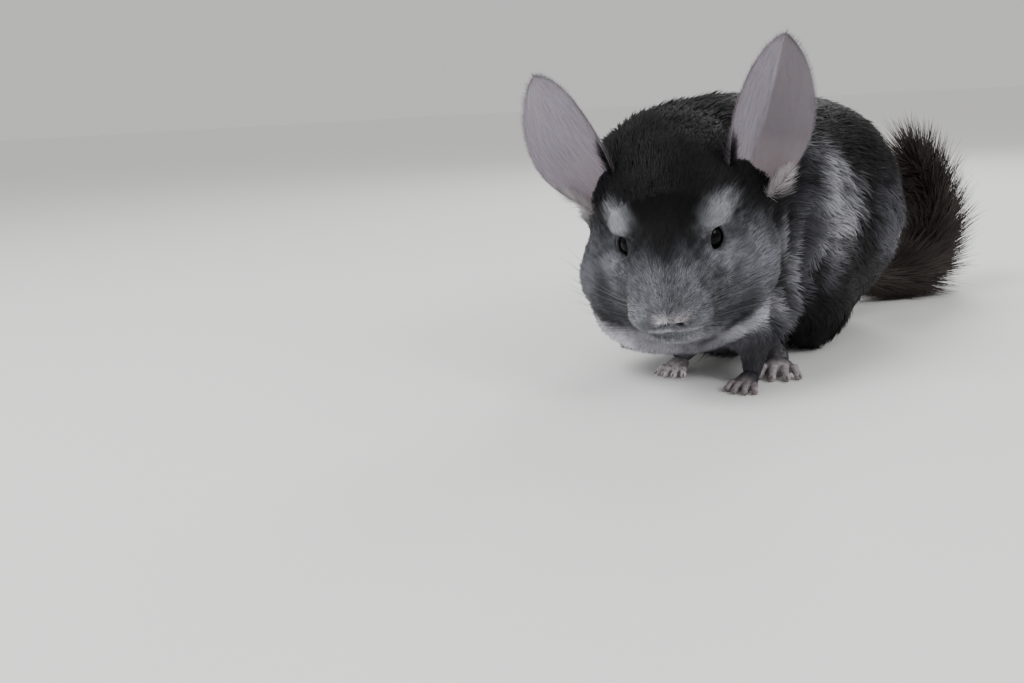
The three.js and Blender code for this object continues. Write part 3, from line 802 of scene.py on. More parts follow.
# A few tufts that differ in their bend and sway, to pick from
def tuftCollection(name, bends, levels):
    collection = bpy.data.collections.new(name)
    for n, (bend, sway) in enumerate(bends):
        piece = bpy.data.objects.new(f"{name}_{n}", tuftMesh(f"{name}_{n}", bend, sway, levels))
        collection.objects.link(piece)
    return collection


# Grows tufts on the faces of one region, each picked, turned, leant and sized on its own
def furTree(name, collection, material):
    tree = bpy.data.node_groups.new(name, "GeometryNodeTree")
    for label, kind in (
        ("Geometry", "NodeSocketGeometry"), ("Region", "NodeSocketInt"), ("Seed", "NodeSocketInt"),
        ("Length Spread", "NodeSocketFloat"), ("Stray", "NodeSocketFloat"),
    ):
        tree.interface.new_socket(label, in_out="INPUT", socket_type=kind)
    tree.interface.new_socket("Geometry", in_out="OUTPUT", socket_type="NodeSocketGeometry")
    nodes, links = tree.nodes, tree.links
    start, end = nodes.new("NodeGroupInput"), nodes.new("NodeGroupOutput")

    def named(label, kind="FLOAT"):
        node = addNode(nodes, "GeometryNodeInputNamedAttribute", data_type=kind)
        node.inputs["Name"].default_value = label
        return node.outputs["Attribute"]

    def mathOf(operation, a, b):
        node = addNode(nodes, "ShaderNodeMath", operation=operation)
        for socket, value in zip(node.inputs, (a, b)):
            if isinstance(value, bpy.types.NodeSocket):
                links.new(value, socket)
            else:
                socket.default_value = value
        return node.outputs[0]

    def vectorOf(operation, a, b=None, factor=None):
        node = addNode(nodes, "ShaderNodeVectorMath", operation=operation)
        links.new(a, node.inputs[0])
        if b is not None:
            links.new(b, node.inputs[1])
        if factor is not None:
            links.new(factor, node.inputs["Scale"])
        return node.outputs[0]

    def chance(low, high, salt, kind="FLOAT"):
        node = addNode(nodes, "FunctionNodeRandomValue", data_type=kind)
        inputs = [i for i in node.inputs if i.enabled]
        if kind == "FLOAT_VECTOR":
            inputs[0].default_value, inputs[1].default_value = (low,) * 3, (high,) * 3
        else:
            inputs[0].default_value, inputs[1].default_value = low, high
        links.new(mathOf("ADD", start.outputs["Seed"], salt), node.inputs["Seed"])
        return next(o for o in node.outputs if o.enabled)

    same = addNode(nodes, "FunctionNodeCompare", data_type="INT", operation="EQUAL")
    sockets = [i for i in same.inputs if i.enabled]
    links.new(named("region", "INT"), sockets[0])
    links.new(start.outputs["Region"], sockets[1])
    scatter = addNode(nodes, "GeometryNodeDistributePointsOnFaces", distribute_method="RANDOM")
    links.new(start.outputs["Geometry"], scatter.inputs["Mesh"])
    links.new(same.outputs[0], scatter.inputs["Selection"])
    links.new(named("tuftDensity"), scatter.inputs["Density"])
    links.new(start.outputs["Seed"], scatter.inputs["Seed"])

    lift = named("tuftLift")
    upright = vectorOf("SCALE", scatter.outputs["Normal"], factor=lift)
    lying = vectorOf("SCALE", named("lie", "FLOAT_VECTOR"), factor=mathOf("SUBTRACT", 1.0, lift))
    stray = vectorOf("SCALE", chance(-1, 1, 11, "FLOAT_VECTOR"), factor=start.outputs["Stray"])
    grown = vectorOf("ADD", vectorOf("ADD", upright, lying), stray)
    kept = addNode(nodes, "GeometryNodeCaptureAttribute")
    kept.capture_items.new("VECTOR", "Grown")
    links.new(scatter.outputs["Points"], kept.inputs["Geometry"])
    links.new(grown, kept.inputs["Grown"])
    rise = addNode(nodes, "FunctionNodeAlignRotationToVector", axis="Z")
    links.new(kept.outputs["Grown"], rise.inputs["Vector"])
    turn = addNode(nodes, "FunctionNodeAlignRotationToVector", axis="X", pivot_axis="Z")
    links.new(rise.outputs["Rotation"], turn.inputs["Rotation"])
    links.new(named("lie", "FLOAT_VECTOR"), turn.inputs["Vector"])

    source = nodes.new("GeometryNodeCollectionInfo")
    source.inputs["Collection"].default_value = collection
    source.inputs["Separate Children"].default_value = True
    source.inputs["Reset Children"].default_value = True
    place = nodes.new("GeometryNodeInstanceOnPoints")
    links.new(kept.outputs["Geometry"], place.inputs["Points"])
    links.new(source.outputs[0], place.inputs["Instance"])
    place.inputs["Pick Instance"].default_value = True
    links.new(chance(0, len(collection.objects) - 1, 3, "INT"), place.inputs["Instance Index"])
    links.new(turn.outputs["Rotation"], place.inputs["Rotation"])
    size = mathOf("ADD", 1.0, mathOf("MULTIPLY", chance(-1, 1, 5), start.outputs["Length Spread"]))
    long = mathOf("MULTIPLY", named("tuftLength"), size)
    sizes = nodes.new("ShaderNodeCombineXYZ")
    for axis, value in (("X", named("tuftWidth")), ("Y", named("tuftWidth")), ("Z", long)):
        links.new(value, sizes.inputs[axis])
    links.new(sizes.outputs[0], place.inputs["Scale"])
    mark = addNode(nodes, "GeometryNodeStoreNamedAttribute", data_type="FLOAT", domain="INSTANCE")
    mark.inputs["Name"].default_value = "tuftRandom"
    links.new(place.outputs[0], mark.inputs["Geometry"])
    links.new(chance(0, 1, 7), next(i for i in mark.inputs if i.name == "Value" and i.enabled))
    real = nodes.new("GeometryNodeRealizeInstances")
    links.new(mark.outputs[0], real.inputs["Geometry"])
    paint = nodes.new("GeometryNodeSetMaterial")
    paint.inputs["Material"].default_value = material
    links.new(real.outputs[0], paint.inputs["Geometry"])
    links.new(paint.outputs[0], end.inputs["Geometry"])
    return tree


def inputKey(tree, label):
    sockets = tree.interface.items_tree
    return next(i.identifier for i in sockets if i.name == label and i.in_out == "INPUT")


def attributeArray(mesh, name, width, key):
    values = np.empty(len(mesh.attributes[name].data) * width, np.float32)
    mesh.attributes[name].data.foreach_get(key, values)
    return values.reshape(-1, width)


# Grows a region's tufts, makes them a plain mesh, and lays each on its own patch of the bake map
def growTufts(name, ground, tree, region, seed, lengthSpread=0.15, stray=0.055):
    modifier = ground.modifiers.new("fur", "NODES")
    modifier.node_group = tree
    for label, value in (
        ("Region", region), ("Seed", seed), ("Length Spread", lengthSpread), ("Stray", stray),
    ):
        modifier[inputKey(tree, label)] = value
    evaluated = ground.evaluated_get(bpy.context.evaluated_depsgraph_get())
    mesh = bpy.data.meshes.new_from_object(evaluated)
    mesh.name = name
    ground.modifiers.remove(modifier)
    place = np.empty(len(mesh.vertices) * 3, np.float32)
    mesh.vertices.foreach_get("co", place)
    place[2::3] = np.maximum(place[2::3], 0.0002)
    mesh.vertices.foreach_set("co", place)
    corner = np.empty(len(mesh.loops), np.int32)
    mesh.loops.foreach_get("vertex_index", corner)
    across, along = (attributeArray(mesh, key, 1, "value") for key in ("across", "along"))
    patch = np.concatenate([across, along], axis=1)
    spot = attributeArray(mesh, "rootUv", 3, "vector")[:, :2] + bakePatch * (patch - 0.5)
    bake = mesh.uv_layers.new(name="OFBake")
    bake.data.foreach_set("uv", spot[corner].astype(np.float32).ravel())
    spares = ["tuftLength", "tuftWidth", "tuftDensity", "tuftLift", "lie", "rootUv", "across", "region"]
    for spare in spares:
        if mesh.attributes.get(spare):
            mesh.attributes.remove(mesh.attributes[spare])
    piece = bpy.data.objects.new(name, mesh)
    bpy.context.scene.collection.objects.link(piece)
    print(name, len(mesh.polygons))
    return piece


bakePatch = 0.003  # side of one hair's patch, as a share of the bake map
seeds = {"coat": 11, "ears": 41, "paws": 51, "tail": 71}

print("coat")
tufts = prepareCoat(skin, skinPoints, skinFaces)
centres = skinPoints[skinFaces].mean(1)
inHead = np.linalg.norm((toHead(centres) - np.array(headBall[0])) / np.array(headBall[1]), axis=1) < 1
onFace = coatDepth(centres, toHead(centres)) < 2.0
names = setRegions(skin, centres[:, 1], tufts, [("coatFace", onFace & inHead)], coatForm["faceTufts"])
faceCount = len(names)
longer = [("coatHead", inHead & ~onFace), ("coatBody", ~inHead)]
names += setRegions(skin, centres[:, 1], tufts, longer, coatForm["bodyTufts"], faceCount)
print("tufts", round(tufts.sum()), names)
shortBends = [(2.2, 0.4), (2.8, -0.5), (1.8, 0.1), (3.2, 0.8), (2.4, -0.9)]
coatBends = [(6.5, 0.8), (7.5, -0.9), (5.5, 0.2), (8.5, 1.3), (6, -1.4)]
shortTufts = tuftCollection("shortTuft", shortBends, [0, 1])
coatTufts = tuftCollection("coatTuft", coatBends, [0, 0.45, 1])
faceTree = furTree("faceFur", shortTufts, faceHair)
coatTree = furTree("coatFur", coatTufts, coatHair)
coats = [
    growTufts(name, skin, faceTree if n < faceCount else coatTree, n, seeds["coat"] + n)
    for n, name in enumerate(names)
]

print("ears")
earForm = {
    "left": {
        "root": (28, -26, 11), "lean": (0.3, -0.4, 0.87), "face": (0.3, 0.84, 0.35), "crease": 0.9,
    },
    "right": {
        "root": (-28, -26, 13), "lean": (-0.47, -0.38, 0.83), "face": (-0.16, 0.9, 0.36), "crease": 0.3,
    },
    "length": 56.5, "width": 28, "wall": 1.0, "sunk": 8, "widest": 0.46, "steps": 60, "spread": 44,
}


# Widest a little below the middle, with a narrow root and a rounded tip
def earWidth(t):
    widest = earForm["widest"]
    rising = 0.5 + 0.5 * np.sin(np.pi / 2 * np.minimum(t / widest, 1))
    falling = (1 - np.clip((t - widest) / (1 - widest), 0, 1) ** 2) ** 0.66
    return np.maximum(np.where(t < widest, rising, falling), 0.05)


# A cupped leaf: t runs from root to tip, w across it, and out is 1 on its inner face and -1 behind
def earPoints(side, sign, t, w, out):
    form = earForm[side]
    along, facing = headDirection(*form["lean"]), headDirection(*form["face"])
    front = unit(facing - along * (facing @ along))
    across = np.cross(along, front)
    cup = np.radians(72 - 30 * t)
    bend = w * cup
    reach = earForm["width"] / 2 * earWidth(t) / np.sin(cup)
    hollow = reach * (1 - np.cos(bend)) * (1 - 0.35 * t)
    tilt = 5 * np.sin(np.pi * t) - 4 * t * t
    fold = w * sign + 0.1 + 0.06 * np.sin(2.2 * t)
    crease = form["crease"] * np.tanh(fold / 0.05) * np.exp(-(fold / 0.22) ** 2)
    crease = crease * smooth(0.08, 0.3, t) * (1 - smooth(0.75, 0.96, t))
    rim = 0.35 * np.exp(-((1 - np.abs(w)) / 0.09) ** 2) * (out > 0)
    ripple = 0.14 * np.sin(23 * w + 5 * t) * np.sin(19 * t + 3 * w)
    crease = crease + rim + ripple
    wall = out * earForm["wall"] / 2 * (1 - 0.35 * t) * np.sqrt(np.maximum(0, 1 - 0.75 * w ** 6))
    depth = hollow + tilt + crease + wall * np.cos(bend)
    aside = (reach - wall) * np.sin(bend) + sign * 2 * t
    along = along * (earForm["length"] * t - earForm["sunk"])[:, None]
    return headPoint(*form["root"]) + along + across * aside[:, None] + front * depth[:, None]


def buildEar(side, sign, material):
    steps, spread = earForm["steps"], earForm["spread"]
    rows = np.linspace(0, 1, steps + 1) ** 0.85
    columns = np.sin(np.linspace(-1, 1, spread + 1) * np.pi / 2)
    around = 2 * (spread + 1)
    t = np.repeat(rows, around)
    ring = np.tile(np.concatenate([columns, columns[::-1]]), steps + 1)
    out = np.tile(np.repeat([1.0, -1.0], spread + 1), steps + 1)
    points = earPoints(side, sign, t, ring, out)
    faces = tubeFaces(steps + 1, around)
    for row in (0, steps):
        for k in range(spread):
            a, b, c, d = (row * around + n for n in (k, k + 1, around - 2 - k, around - 1 - k))
            faces.append((d, c, b, a) if row == 0 else (a, b, c, d))
    faces = np.array(faces)
    ear = newMesh(f"ear_{side}_thin", toRow(points), faces, material)
    w, inner = ring * sign, out * 0.5 + 0.5
    # the left ear is painted paler on one side of its fold and darker on the other, as light and shade
    # on the two faces of the crease; the right one keeps one colour
    tint = w if side == "left" else w - 2
    setAttribute(ear.data, "earPlace", "FLOAT_VECTOR", "POINT", np.stack([tint, t, inner], axis=1))
    normals, flat = np.zeros((len(points), 3)), faceNormals(points, faces)
    for corner in faces.T:
        np.add.at(normals, corner, flat)
    normals = unit(normals)
    up = headDirection(*earForm[side]["lean"])
    aside = np.cross(up, headDirection(*earForm[side]["face"]))
    lie = up + aside * (0.8 * np.sign(w) * smooth(0.5, 1.0, np.abs(w)) * sign)[:, None]
    edge = np.clip(smooth(0.86, 0.99, np.abs(w)) + smooth(0.93, 1.0, t), 0, 1)
    root = 1 - smooth(0.24, 0.42, t)
    fringe = root * smooth(-0.5, -0.95, w) * inner
    white = root * smooth(0.45, 0.95, w) * inner * (1 - smooth(0.14, 0.26, t))
    long = np.maximum(fringe, white)
    colour = np.where(inner[:, None] > 0.5, hexColor("#7c747d"), hexColor("#3c3a40"))
    for share, paint in ((0.7 * edge, "#968d93"), (fringe, "#1c1b1f"), (white, "#c9c3c6")):
        colour = tinted(colour, share, paint)
    values = {
        "colour": colour, "lie": flattened(lie, normals), "speckle": np.full(len(points), 0.3),
        "length": 1.3 + 0.5 * edge + 5 * fringe + 4.5 * white + 0.6 * (1 - inner),
        "width": 0.14 + 0.16 * long, "lift": 0.12 + 0.2 * long + 0.1 * edge,
        "density": 1.3 + 3.5 * edge + 2.5 * (1 - inner) + 4 * long,
    }
    place = np.stack([0.25 + 0.21 * ring + 0.5 * (1 - inner), 0.04 + 0.9 * t, 0 * t], axis=1)
    storeCoat(ear, points, faces, values, place[faces.ravel()])
    oneRegion(ear, faces)
    return ear


# Thin bare skin with streaks along it, darker behind and paler towards the root
def earMaterial():
    material, nodes, links, shader = newMaterial("earSkin")
    place = attributeNode(nodes, "earPlace").outputs["Vector"]
    parts = nodes.new("ShaderNodeSeparateXYZ")
    links.new(place, parts.inputs[0])
    w, t, inner = parts.outputs
    noise = noiseNode(nodes, 1, 6)
    streaks = addNode(nodes, "ShaderNodeVectorMath", operation="MULTIPLY")
    links.new(place, streaks.inputs[0])
    streaks.inputs[1].default_value = (26, 6, 3)
    links.new(streaks.outputs["Vector"], noise.inputs["Vector"])
    # on the left ear this paints light on one face of the fold and shade on the other
    sideShare = mapRange(nodes, links, w, 0, 1, -0.13, -0.07)
    colour = mixColor(nodes, links, sideShare, "#8a8591", "#615c61")
    mottle = mapRange(nodes, links, noise.outputs["Fac"], 0.0, 0.7, 0.35, 0.75)
    colour = mixColor(nodes, links, mottle, colour, "#665c64")
    low = mapRange(nodes, links, t, 0.5, 0.0, 0.1, 0.42)
    colour = mixColor(nodes, links, low, colour, "#a8989c")
    links.new(mixColor(nodes, links, inner, "#2b292d", colour), shader.inputs["Base Color"])
    addRelief(nodes, links, shader, noise.outputs["Fac"], 0.25)
    setInputs(shader, {"Roughness": 0.55, "Subsurface Weight": 0.12, "Subsurface Scale": 0.002})
    return material


earSkin = earMaterial()
ears = {side: buildEar(side, sign, earSkin) for side, sign in (("left", 1), ("right", -1))}
downTufts = tuftCollection("downTuft", [(2.5, 0.5), (3.5, -0.7), (1.5, 0.1), (4, 1.1)], [0, 1])
downTree = furTree("downFur", downTufts, faceHair)
downs = [
    growTufts(f"earDown_{side}", ear, downTree, 0, seeds["ears"], 0.3, 0.16)
    for side, ear in ears.items()
]

print("tail")
tailForm = {
    "bends": [
        (2, 58, 24), (14, 78, 13), (24, 96, 11), (31, 114, 16),
        (35, 123, 34), (32, 121, 54), (27, 113, 70),
    ],
    "pitch": 1.1, "skin": 4.6, "brushStart": 0.2,
    "shortHair": 13, "longHair": 27, "hairWidth": 0.52, "density": 2.9,
}


# A smooth line through points that never overshoots a close pair
def smoothLine(bends, steps=40):
    knots = np.array(bends, float)
    knots = np.vstack([2 * knots[0] - knots[1], knots, 2 * knots[-1] - knots[-2]])
    line = []
    for k in range(len(knots) - 3):
        a, b, c, d = knots[k:k + 4]
        before, here, after = (math.sqrt(np.linalg.norm(v)) for v in (b - a, c - b, d - c))
        start = ((b - a) / before - (c - a) / (before + here) + (c - b) / here) * here
        finish = ((c - b) / here - (d - b) / (here + after) + (d - c) / after) * here
        for n in range(steps):
            t = n / steps
            weights = (
                2 * t ** 3 - 3 * t * t + 1, t ** 3 - 2 * t * t + t,
                3 * t * t - 2 * t ** 3, t ** 3 - t * t,
            )
            line.append(weights[0] * b + weights[1] * start + weights[2] * c + weights[3] * finish)
    line.append(knots[-2])
    return np.array(line)


# The same line with its points at equal distances
def evenly(line, count):
    run = np.r_[0, np.cumsum(np.linalg.norm(np.diff(line, axis=0), axis=1))]
    share = np.linspace(0, run[-1], count)
    return np.stack([np.interp(share, run, line[:, k]) for k in range(3)], axis=1)


tailLine = evenly(smoothLine(tailForm["bends"]), 80)
tailShare = np.linspace(0, 1, len(tailLine))
tailRadii = tailForm["skin"] * (1 - 0.4 * smooth(0.3, 1.0, tailShare))


# Distance to the tail's skin, and how far along the tail it is
def tailNearest(p):
    best, place = np.full(p.shape[:-1], 1e3), np.zeros(p.shape[:-1])
    for n in range(len(tailLine)):
        far = np.linalg.norm(p - tailLine[n], axis=-1) - tailRadii[n]
        place = np.where(far < best, tailShare[n], place)
        best = np.minimum(best, far)
    return best, place


tailLow, tailHigh = tailLine.min(0) - 6, tailLine.max(0) + 6
pitch = tailForm["pitch"]
tailGrid = [np.arange(a, b + pitch, pitch) for a, b in zip(tailLow, tailHigh)]
tailPoints, tailFaces = netSurface(lambda p: tailNearest(p)[0], tailGrid)
tailSkin = newMesh("tail_skin", toRow(tailPoints), tailFaces, coatSkin)
tailPlace = tailNearest(tailPoints)[1]
index = np.round(tailPlace * (len(tailLine) - 1)).astype(int)
tailWay = unit(np.gradient(tailLine, axis=0))[index]
tailNormals = unit(tailPoints - tailLine[index])
inBrush = smooth(tailForm["brushStart"] - 0.06, tailForm["brushStart"] + 0.22, tailPlace)
tailColour = tinted(hexColor("#2d2925"), inBrush, "#2e2927")
tailColour = tailColour * (1 + 0.25 * softNoise(tailPoints, 9, 21))[:, None]
towardsBody = np.clip((unit(np.array([0, 40, 55]) - tailPoints) * tailNormals).sum(1), 0, 1)
tailLength = tailForm["shortHair"] + (tailForm["longHair"] - tailForm["shortHair"]) * inBrush
tailLength = tailLength * (1 - 0.2 * smooth(0.85, 1, tailPlace))
tailLength = tailLength * (1 - 0.25 * np.clip(tailNormals[:, 0], 0, 1))
tailValues = {
    "colour": tailColour, "lie": flattened(tailWay, tailNormals),
    "speckle": np.full(len(tailPoints), 0.4), "length": tailLength,
    "width": tailForm["hairWidth"] * (0.8 + 0.2 * inBrush),
    "density": tailForm["density"] * (1.2 - 0.2 * inBrush),
    "lift": 0.32 + 0.12 * inBrush + 0.3 * towardsBody * inBrush,
}
tailTurn = np.arctan2(tailNormals[:, 0], tailNormals[:, 2] + 1e-6) / (2 * np.pi) + 0.5
tailUv = np.stack([0.02 + 0.95 * tailPlace, 0.02 + 0.95 * tailTurn, 0 * tailPlace], axis=1)
tailTufts = storeCoat(tailSkin, tailPoints, tailFaces, tailValues, tailUv[tailFaces.ravel()])
oneRegion(tailSkin, tailFaces)
print("tail tufts", round(tailTufts.sum()))
longBends = [(6, 2), (9, -3), (4, 1), (11, -1), (7, 4), (3, -2)]
longTufts = tuftCollection("longTuft", longBends, [0, 0.3, 0.65, 1])
tailTree = furTree("tailFur", longTufts, tailHair)
tailCoat = growTufts("tailHair_1", tailSkin, tailTree, 0, seeds["tail"], 0.42, 0.17)

print("paws")
pawForm = {
    "fore": {"width": 8, "height": 6, "toe": 8, "toeRadius": 1.6, "claw": 3.0},
    "hind": {"width": 11, "height": 8, "toe": 11, "toeRadius": 2.1, "claw": 3.6},
    "spread": 20, "toes": 4, "pitch": 0.55,
    # colours of the foot and of its toes; the right forepaw's are paler, partly its own pale colour and
    # partly painted light against the shade it stands in
    "shades": {
        "forepaw_left": ("#39383c", "#8f868a"), "forepaw_right": ("#cdc9cd", "#efe6e9"),
        "hindfoot_left": ("#77747a", "#a79ea1"), "hindfoot_right": ("#77747a", "#a79ea1"),
    },
    # heel and root of the toes
    "places": {
        "forepaw_left": ((28, -85, 0), (29, -92, 0)),
        "forepaw_right": ((-6, -78, 0), (-5, -85, 0)),
        "hindfoot_left": ((16, -38, 0), (31, -67.5, 0)),
        "hindfoot_right": ((-25, -14, 0), (-27, -50, 0)),
    },
}
clawHorn, nodes, links, shader = newMaterial("clawHorn")
horn = noiseNode(nodes, 900, 2)
links.new(addNode(nodes, "ShaderNodeTexCoord").outputs["Object"], horn.inputs["Vector"])
hornColour = mixColor(nodes, links, horn.outputs["Fac"], "#4d4340", "#8a7d78")
links.new(hornColour, shader.inputs["Base Color"])
shader.inputs["Roughness"].default_value = 0.35


# Root, knuckle, tip and direction of each toe, fanned out from the front of the foot
def toesOf(heel, front, form):
    along = unit(front - heel)
    aside = unit(np.cross(along, [0, 0, 1]))
    toes = []
    for n in range(pawForm["toes"]):
        fan = n / (pawForm["toes"] - 1) * 2 - 1
        angle = math.radians(pawForm["spread"] * fan)
        out = along * math.cos(angle) + aside * math.sin(angle)
        radius, length = form["toeRadius"], form["toe"] * (1 - 0.22 * fan * fan)
        start = front + aside * form["width"] * 0.4 * fan + np.array([0, 0, radius * 1.25])
        knuckle = start + out * length * 0.55 + np.array([0, 0, radius * 0.5])
        tip = start + out * length + np.array([0, 0, -radius * 0.4])
        toes.append((start, knuckle, tip, out))
    return toes, along, aside


# Distance to a foot: a sole, a broad front and toes of two joints with a round end
def pawDistance(p, heel, front, form):
    toes, along, aside = toesOf(heel, front, form)
    turned = np.stack([aside, along, [0, 0, 1]])
    reach = np.linalg.norm(front - heel) / 2
    width, height, radius = form["width"], form["height"], form["toeRadius"]
    sole = (width / 2 - 0.6, reach + 2.6, height * 0.55)
    d = ellipsoidDistance((p - (heel + front) / 2) @ turned.T, (0, 0, height * 0.42), sole)
    pad = (width * 0.54, width * 0.55, height * 0.44)
    d = blended(d, ellipsoidDistance((p - front) @ turned.T, (0, 0, height * 0.36), pad), 2)
    for start, knuckle, tip, out in toes:
        d = blended(d, rodDistance(p, start, knuckle, radius * 0.85, radius * 0.78), 0.8)
        d = blended(d, rodDistance(p, knuckle, tip, radius * 0.82, radius * 0.66), 0.4)
        end = tip + np.array([0, 0, -0.12 * radius])
        d = blended(d, np.linalg.norm(p - end, axis=-1) - radius * 0.74, 0.6)
    return d


# Small curved horn cones, one on each toe
def clawMesh(name, toes, form):
    points, faces = [], []
    around, rows = 8, 7
    for start, knuckle, tip, out in toes:
        first = len(points)
        aside = np.cross(out, [0, 0, 1])
        for row in range(rows):
            t = row / (rows - 1)
            rise = np.array([0, 0, form["toeRadius"] * (0.35 - 0.75 * t * t)])
            middle = tip + out * (form["claw"] * t - 0.2) + rise
            radius = form["toeRadius"] * 0.36 * (1 - t) ** 0.75 + 0.03
            for k in range(around):
                turn = 2 * math.pi * k / around
                ring = 0.8 * aside * math.cos(turn) + np.array([0, 0, math.sin(turn)])
                points.append(middle + radius * ring)
        faces += tubeFaces(rows, around, first, flipped=True)
        faces.append(tuple(first + k for k in range(around)))
        faces.append(tuple(first + (rows - 1) * around + k for k in reversed(range(around))))
    points = np.array(points)
    points[:, 2] = np.maximum(points[:, 2], 0.1)
    return newMesh(name, toRow(points), faces, clawHorn)


pawSkin = skinMaterial("pawSkin", 0.95, 700, 0.6, 0.5)
paws, claws, pawDowns = {}, [], []
for number, (name, ends) in enumerate(pawForm["places"].items()):
    ends = np.array(ends, float)
    heel, front = ends
    form = pawForm["fore" if name.startswith("fore") else "hind"]
    field = lambda p: pawDistance(p, heel, front, form)
    low, high = ends.min(0) - 18, ends.max(0) + 18
    low[2], high[2] = -1.2, form["height"] * 1.15
    grid = [np.arange(a, b + pawForm["pitch"], pawForm["pitch"]) for a, b in zip(low, high)]
    points, faces = netSurface(field, grid)
    normals = unit(fieldSlope(field, points))
    points[:, 2] = np.maximum(points[:, 2], 0.0)
    paw = newMesh(f"{name}_skin", toRow(points), faces, pawSkin)
    toes, along, aside = toesOf(heel, front, form)
    claws.append(clawMesh(f"claws_{name}", toes, form))
    onToes = smooth(-2, 5, (points - front) @ along)
    above = smooth(-0.1, 0.45, normals[:, 2])
    footShade, toeShade = pawForm["shades"][name]
    colour = tinted(hexColor(footShade), onToes, toeShade)
    # painted shade: the foot is darker where its surface turns away from above
    colour = colour * (0.75 + 0.25 * above)[:, None] * (1 + 0.12 * softNoise(points, 4, 31))[:, None]
    values = {
        "colour": colour, "lie": flattened(along * 0.9 + np.zeros_like(points), normals),
        "speckle": np.full(len(points), 0.35), "length": 2.6 - 1.4 * onToes,
        "width": np.full(len(points), 0.24), "lift": np.full(len(points), 0.22),
        "density": 5.5 * above * (1 - 0.55 * onToes),
    }
    uv = ((points - low) / 90)[faces.ravel()]
    uv[:, 0] += 0.45 * (np.repeat(faceNormals(points, faces), 4, axis=0)[:, 2] < 0)
    uv[:, 2] = 0
    storeCoat(paw, points, faces, values, uv)
    oneRegion(paw, faces)
    pawDowns.append(growTufts(f"pawDown_{name}", paw, downTree, 0, seeds["paws"] + number, 0.3, 0.14))
    paws[name] = paw

print("whiskers")
whiskerForm = {
    "perSide": 24, "rows": 5, "steps": 10,
    "thick": 0.12, "thin": 0.025, "longest": 42, "shortest": 17,
    # root of the first one beside the nose, and the way to the next column and row
    "first": (9.5, 26.5, -9.5), "next": (1.7, -2.6, -2.3),
}


# Puts a point on the skin
def settled(root):
    for turn in range(8):
        slope = fieldSlope(skinDistance, root)
        move = np.clip(skinDistance(root), -2, 2)[:, None]
        root = root - slope * move / max((slope ** 2).sum(), 0.3)
    return root


def growWhiskers():
    random = np.random.default_rng(5)
    points, faces, shade = [], [], []
    aside, forward, up = whiskerForm["first"]
    asideNext, forwardNext, upNext = whiskerForm["next"]
    thick, thin = whiskerForm["thick"], whiskerForm["thin"]
    longest, shortest = whiskerForm["longest"], whiskerForm["shortest"]
    steps = whiskerForm["steps"]
    for sign in (1, -1):
        for n in range(whiskerForm["perSide"]):
            column, row = divmod(n, whiskerForm["rows"])
            q = [sign * (aside + asideNext * column), forward + forwardNext * column, up + upNext * row]
            root = settled(headPoint(*(np.array(q) + random.uniform(-0.5, 0.5, 3)))[None])[0]
            share = column / 3 + random.uniform(-0.15, 0.15)
            length = shortest + (longest - shortest) * np.clip(share + 0.25, 0, 1)
            rise = 0.02 - 0.08 * row + random.uniform(-0.08, 0.08)
            way = headDirection(sign * 0.8, -0.35 - 0.3 * share, rise)
            sweep = headDirection(sign * 0.02, -0.9, -0.4 - 0.08 * row)
            over, beside = unit(np.cross(way, sweep)), unit(np.cross(way, np.cross(way, sweep)))
            first = len(points)
            for step in range(steps + 1):
                t = step / steps
                middle = root - way * 0.8 + length * (way * t + 0.28 * sweep * t * t)
                radius = thin + (thick - thin) * (1 - t) ** 0.8
                for k in range(3):
                    turn = 2 * math.pi * k / 3
                    points.append(middle + radius * (over * math.cos(turn) + beside * math.sin(turn)))
            # one in five is pale
            shade += [float((n * 7 + (sign > 0)) % 5 == 0)] * (len(points) - first)
            last = first + steps * 3
            faces += tubeFaces(steps + 1, 3, first)
            faces += [(first + 2, first + 1, first), (last, last + 1, last + 2)]
    return np.array(points), faces, shade


whiskerHair, nodes, links, shader = newMaterial("whiskerHair")
pale = attributeNode(nodes, "pale").outputs["Fac"]
links.new(mixColor(nodes, links, pale, "#0f0e10", "#605d60"), shader.inputs["Base Color"])
shader.inputs["Roughness"].default_value = 0.35
whiskerPoints, whiskerFaces, whiskerShade = growWhiskers()
whiskers = newMesh("whiskers", toRow(whiskerPoints), whiskerFaces, whiskerHair)
setAttribute(whiskers.data, "pale", "FLOAT", "POINT", whiskerShade)

print("eyes")


# Nearly black and wet, darkest in the middle
eyeGlass, nodes, links, shader = newMaterial("eyeGlass")
rim = mapRange(nodes, links, attributeNode(nodes, "eyePlace").outputs["Fac"], 0, 1, 0.55, 0.8)
links.new(mixColor(nodes, links, rim, "#0b0706", "#020202"), shader.inputs["Base Color"])
setInputs(shader, {"Roughness": 0.05, "Specular IOR Level": 0.09})


# A ball with a slightly raised front; eyePlace is 1 at the front and -1 at the back
def buildEye(side):
    rows, around = 28, 40
    points, place = [], []
    centre, radius, turned = eyeCentres[side], eyeForm["radius"], eyeAxes[side]
    for row in range(1, rows):
        polar = math.pi * row / rows
        ring = math.sin(polar)
        for k in range(around):
            turn = 2 * math.pi * k / around
            local = np.array([ring * math.cos(turn), ring * math.sin(turn), math.cos(polar)])
            bulge = 1 + 0.05 * smooth(0.6, 1.0, local[2])
            points.append(centre + radius * bulge * local @ turned)
            place.append(local[2])
    points += [centre + radius * 1.05 * turned[2], centre - radius * turned[2]]
    place += [1, -1]
    top, bottom = len(points) - 2, len(points) - 1
    last = (rows - 2) * around
    faces = tubeFaces(rows - 1, around, flipped=True)
    for k in range(around):
        faces.append((top, k, (k + 1) % around))
        faces.append((bottom, last + (k + 1) % around, last + k))
    eye = newMesh(f"eye_{side}_wet", toRow(np.array(points)), faces, eyeGlass)
    setAttribute(eye.data, "eyePlace", "FLOAT", "POINT", place)
    return eye


eyes = {side: buildEye(side) for side in ("left", "right")}

